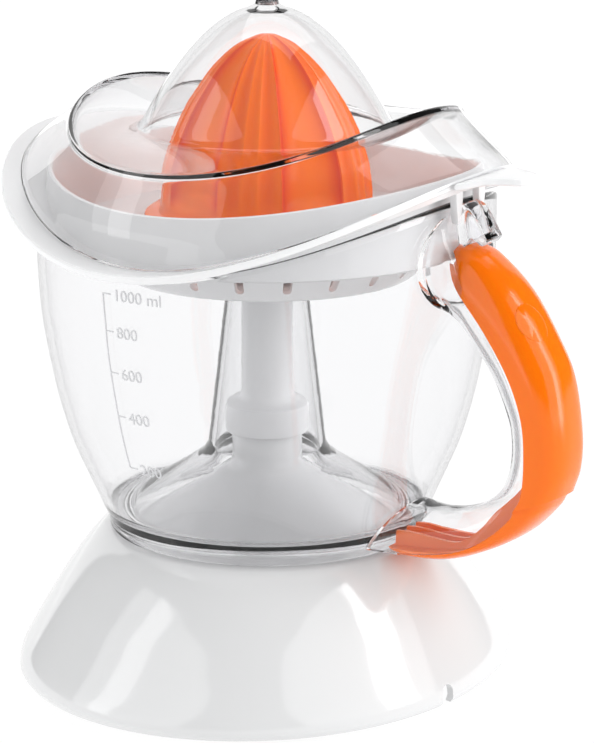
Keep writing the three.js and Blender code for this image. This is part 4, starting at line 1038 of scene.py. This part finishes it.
class JUICER_OT_reamer(Operator):
    """Build the orange reamer cone with its ribs, flange and skirt"""

    bl_idname = "juicer.reamer"
    bl_label = "Reamer"

    def execute(self, context):
        size = sizes_in_mm()
        low, span = size.cone_base, size.cone_top - size.cone_base
        shares = [
            (0.0, 1.0), (0.06, 0.997), (0.13, 0.983), (0.3, 0.93), (0.5, 0.82), (0.67, 0.68), (0.8, 0.55),
            (0.9, 0.41), (0.965, 0.28), (0.99, 0.16), (1.0, 0.02),
        ]
        outer = [(size.cone_radius * out, low + span * up, 0, 0) for out, up in reversed(shares)]
        side = curve_through(outer, 6)[::-1]
        flange = profile(
            (size.cone_radius + 0.6, low + 0.1), (40.2, low), (40.8, low - 0.4), (41.0, low - 1.1),
            (40.8, low - 1.8), (40.2, low - 2.2), (39.2, low - 2.4), (39.0, low - 12.6), (38.6, low - 13.2),
            (37.0, low - 13.2), (36.6, low - 12.6), (36.6, low - 2.4), (32.0, low - 1.0), (26.5, 182.0),
            (20.0, 192.0), (10.0, 196.0), (9.6, 158.6), (0.0, 158.4),
        )
        shape = spun(side + flange, closed=False, steps=360)
        hollow = shape.verts.layers.float.new("hollow")
        deepest_share = 0.24
        for vert in shape.verts:
            radius = vert.co.xy.length
            up = (vert.co.z - low) / span
            is_skin = up > 0.0 and radius > SAME_PLACE and radius > radius_at(side[::-1], vert.co.z, 0) - 0.01
            if not is_skin:
                continue
            turn = math.degrees(math.atan2(vert.co.y, vert.co.x)) + FIRST_GROUP + HALF_GROUP
            turn = abs(turn % (2 * HALF_GROUP) - HALF_GROUP)
            depth = size.rib_depth * rib_cut(turn) * ease((up - 0.05) / 0.12)
            depth = min(depth, radius * deepest_share * rib_cut(turn))
            vert.co.xy *= (radius - depth) / radius
            # Painted shade for the reamer's colour: darker in the creases and hollows between the ribs
            vert[hollow] = painted_shade_by_turn(turn) * ease((up - 0.04) / 0.1)
        cone = blank("orange_reamer", shape)
        settle(cone)
        dress(cone, reamer_plastic(), "reamer", "orange_plastic", "cone", "cone_hub", "cone_skirt")
        return {"FINISHED"}


class JUICER_OT_cover(Operator):
    """Build the clear cover with its dome, ridge and knob"""

    bl_idname = "juicer.cover"
    bl_label = "Cover"

    def execute(self, context):
        size = sizes_in_mm()
        skin = cover_skin(size)
        knob_points = 5
        inside = wall_behind(skin[knob_points:], size.cover_wall)
        edge = skin[-1]
        foot = [
            Vector((edge.x - 0.1, edge.y - 0.5, edge.z, edge.w)),
            Vector((edge.x - 0.6, edge.y - 0.7, edge.z, edge.w)),
        ]
        last = inside[-1]
        foot.append(Vector((last.x + 0.5, edge.y - 0.7, last.z, edge.w)))
        foot.append(Vector((last.x + 0.05, edge.y - 0.3, last.z, edge.w)))
        inside[0] = Vector((0, size.dome_top - size.cover_wall, 0, 0))
        cover = blank("clear_cover", spun(skin + foot + inside[::-1], closed=False))
        settle(cover)
        dress(cover, clear_plastic("Clear cover plastic", 0.4), "cover_unit", "clear_plastic", "cover")
        return {"FINISHED"}


class JUICER_OT_shaft(Operator):
    """Build the white drive shaft with its collar and hexagon tip"""

    bl_idname = "juicer.shaft"
    bl_label = "Drive shaft"

    def execute(self, context):
        size = sizes_in_mm()
        stem, collar = size.stem_radius, size.collar_radius
        low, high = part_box("drive_shaft")
        bottom, tip = low.z / MM, high.z / MM
        outline = profile(
            (0, bottom + 5.6), (collar - 1.6, bottom + 5.6), (collar - 1.5, bottom + 0.2),
            (collar - 0.9, bottom), (collar - 0.2, bottom + 0.3), (collar, bottom + 1.0),
            (collar, bottom + 8.8), (collar - 0.4, bottom + 9.8), (collar - 1.4, bottom + 10.2),
            (stem + 2.6, bottom + 10.4), (stem + 1.0, bottom + 11.4), (stem + 0.2, bottom + 13.2),
            (stem, bottom + 15.0), (stem - 0.1, 156.6), (stem - 0.9, 158.0), (0, 158.0),
        )
        shaft = blank("white_shaft", spun(outline, closed=False, steps=96))
        foot = 156.0
        hexagon = rod(radius=6.58, long=tip - foot, sides=6, axis="Z", degrees=30)
        move(hexagon, (0, 0, (tip + foot) / 2))
        bmesh.ops.bevel(
            hexagon, geom=hexagon.edges, offset=0.6, segments=2, affect="EDGES", profile=0.5, material=-1,
        )
        combine(shaft, "UNION", [blank("hexagon_tip", hexagon)])
        dress(shaft, satin_white(), "press_line", "housing_white", "drive_shaft")
        return {"FINISHED"}


class JUICER_OT_spring(Operator):
    """Wind the return spring under the drive shaft"""

    bl_idname = "juicer.spring"
    bl_label = "Return spring"

    def execute(self, context):
        low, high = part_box("return_spring")
        radius, wire, turns, steps, sides = 6.3, 0.6, 5, 24, 10
        rings = []
        for i in range(turns * steps + 1):
            turn = FULL_TURN * i / steps
            out = Vector((math.cos(turn), math.sin(turn), 0))
            height = mix(low.z / MM + wire, high.z / MM - wire, i / (turns * steps))
            middle = out * radius + Vector((0, 0, height))
            round_wire = [k * FULL_TURN / sides for k in range(sides)]
            rings.append([middle + (out * math.cos(a) + Vector((0, 0, math.sin(a)))) * wire for a in round_wire])
        spring = blank("wound_spring", swept(rings))
        settle(spring)
        dress(spring, cad_finishes()["steel"], "base", "steel", "return_spring")
        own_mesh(spring)
        return {"FINISHED"}


class JUICER_OT_works(Operator):
    """Give the CAD pieces, such as the motor and the gears, their finishes"""

    bl_idname = "juicer.works"
    bl_label = "Works inside the base"

    def execute(self, context):
        finishes = cad_finishes()
        slots = {row["node"]: row["material_slot"] for row in frame["record"]["subparts"]}
        for name, piece in frame["nodes"].items():
            piece.data.materials.clear()
            piece.data.materials.append(finishes[slots[name]])
        return {"FINISHED"}


class JUICER_OT_stage(Operator):
    """Set the floor, the studio light and the camera"""

    bl_idname = "juicer.stage"
    bl_label = "Studio"

    def execute(self, context):
        light = context.scene.studio_light
        scene = context.scene
        scene.view_settings.view_transform = "Standard"
        world = bpy.data.worlds.new("Studio room")
        scene.world = world
        world.use_nodes = True
        nodes, link = tree_of(world)
        room = nodes["Background"]
        room.inputs["Color"].default_value = (1.0, 1.0, 1.0, 1.0)
        path = nodes.new("ShaderNodeLightPath").outputs
        first_look = maths(nodes, link, "LESS_THAN", path["Diffuse Depth"], 0.5)
        through = maths(nodes, link, "MULTIPLY", path["Is Transmission Ray"], first_look)
        strength = light.room_light
        for case, brightness in (
            (path["Is Glossy Ray"], light.room_gloss), (through, light.room_through),
            (path["Is Camera Ray"], 1.0),
        ):
            strength = blended(nodes, link, case, strength, brightness)
        link(strength, room.inputs["Strength"])

        floor = bmesh.new()
        floor_reach, floor_drop = 12.0, -0.0004
        bmesh.ops.create_grid(floor, x_segments=1, y_segments=1, size=floor_reach)
        move(floor, (0, 0, floor_drop))
        ground = new_object("studio_floor", floor)
        paper = plastic("White paper", (0.04, 0.04, 0.04), 0.8, mottle=0.02, grain=300.0, relief=0.0001)
        shader = paper.node_tree.nodes["Principled BSDF"]
        shader.inputs["Emission Color"].default_value = (1, 1, 1, 1)
        shader.inputs["Emission Strength"].default_value = light.floor_glow
        ground.data.materials.append(paper)

        # The camera stands in this direction from the juicer, and the lamps are turned from it
        east, south, left_strip_share = 0.5592, 0.8290, 0.45
        towards = Vector((east, -south, 0))
        middle = Vector((AXIS_X, 0, 0.11))
        for name, turn, wide, high, away, up, strength in (
            ("left_box", -60, 1.7, 1.5, 1.25, 0.55, light.side_strength),
            ("right_box", 60, 1.7, 1.5, 1.25, 0.55, light.side_strength),
            ("left_strip", -74, 0.3, 1.4, 1.2, 0.5, light.strip_strength * left_strip_share),
            ("right_strip", 74, 0.35, 1.4, 1.2, 0.5, light.strip_strength),
            ("top_box", 160, 1.5, 1.3, 0.5, 1.5, light.top_strength),
            ("back_box", 180, 3.2, 1.8, 1.8, 0.6, light.back_strength),
        ):
            lamp = bpy.data.lights.new(name, "AREA")
            lamp.shape = "RECTANGLE"
            lamp.size, lamp.size_y = wide, high
            lamp.energy = strength * math.pi * wide * high
            box = bpy.data.objects.new(name, lamp)
            scene.collection.objects.link(box)
            place = towards.copy()
            place.rotate(turned("Z", turn))
            box.location = middle + place * away + Vector((0, 0, up))
            aim(box, middle + Vector((0, 0, 0.15)))
            box.visible_camera = False
            box.visible_transmission = False

        lens = bpy.data.cameras.new("Camera")
        lens.sensor_fit = "HORIZONTAL"
        lens.sensor_width = 36.0
        lens.lens = 203.15
        lens.shift_x = 0.0431
        lens.shift_y = 0.02088
        camera = bpy.data.objects.new("Camera", lens)
        scene.collection.objects.link(camera)
        camera.location = (0.6009, -0.9111, 0.394)
        tilt = math.radians(15.1)
        sight = Vector((-east * math.cos(tilt), south * math.cos(tilt), -math.sin(tilt)))
        aim(camera, camera.location + sight)
        scene.camera = camera
        return {"FINISHED"}


def turned(axis, degrees):
    return Matrix.Rotation(math.radians(degrees), 3, axis)


def aim(thing, point):
    thing.rotation_euler = (point - thing.location).to_track_quat("-Z", "Y").to_euler()


class JUICER_PT_pieces(Panel):
    """The pieces of the juicer in the sidebar"""

    bl_idname = "JUICER_PT_pieces"
    bl_label = "Juicer"
    bl_space_type = "VIEW_3D"
    bl_region_type = "UI"
    bl_category = "Juicer"

    def draw(self, context):
        for operator in OPERATORS:
            self.layout.operator(operator.bl_idname)


GROUPS = (JuicerSizes, JuicerFinishes, StudioLight)
OPERATORS = (
    JUICER_OT_stage, JUICER_OT_works, JUICER_OT_base, JUICER_OT_feet, JUICER_OT_shaft,
    JUICER_OT_spring, JUICER_OT_jug, JUICER_OT_marks, JUICER_OT_channel, JUICER_OT_grip,
    JUICER_OT_strainer, JUICER_OT_reamer, JUICER_OT_cover,
)


def register():
    for kind in (*GROUPS, *OPERATORS, JUICER_PT_pieces):
        bpy.utils.register_class(kind)
    bpy.types.Scene.juicer_sizes = PointerProperty(type=JuicerSizes)
    bpy.types.Scene.juicer_finishes = PointerProperty(type=JuicerFinishes)
    bpy.types.Scene.studio_light = PointerProperty(type=StudioLight)


def unregister():
    del bpy.types.Scene.studio_light
    del bpy.types.Scene.juicer_finishes
    del bpy.types.Scene.juicer_sizes
    for kind in reversed((*GROUPS, *OPERATORS, JUICER_PT_pieces)):
        bpy.utils.unregister_class(kind)


def main():
    register()
    for operator in OPERATORS:
        group, name = operator.bl_idname.split(".")
        getattr(getattr(bpy.ops, group), name)()


if __name__ == "__main__":
    main()
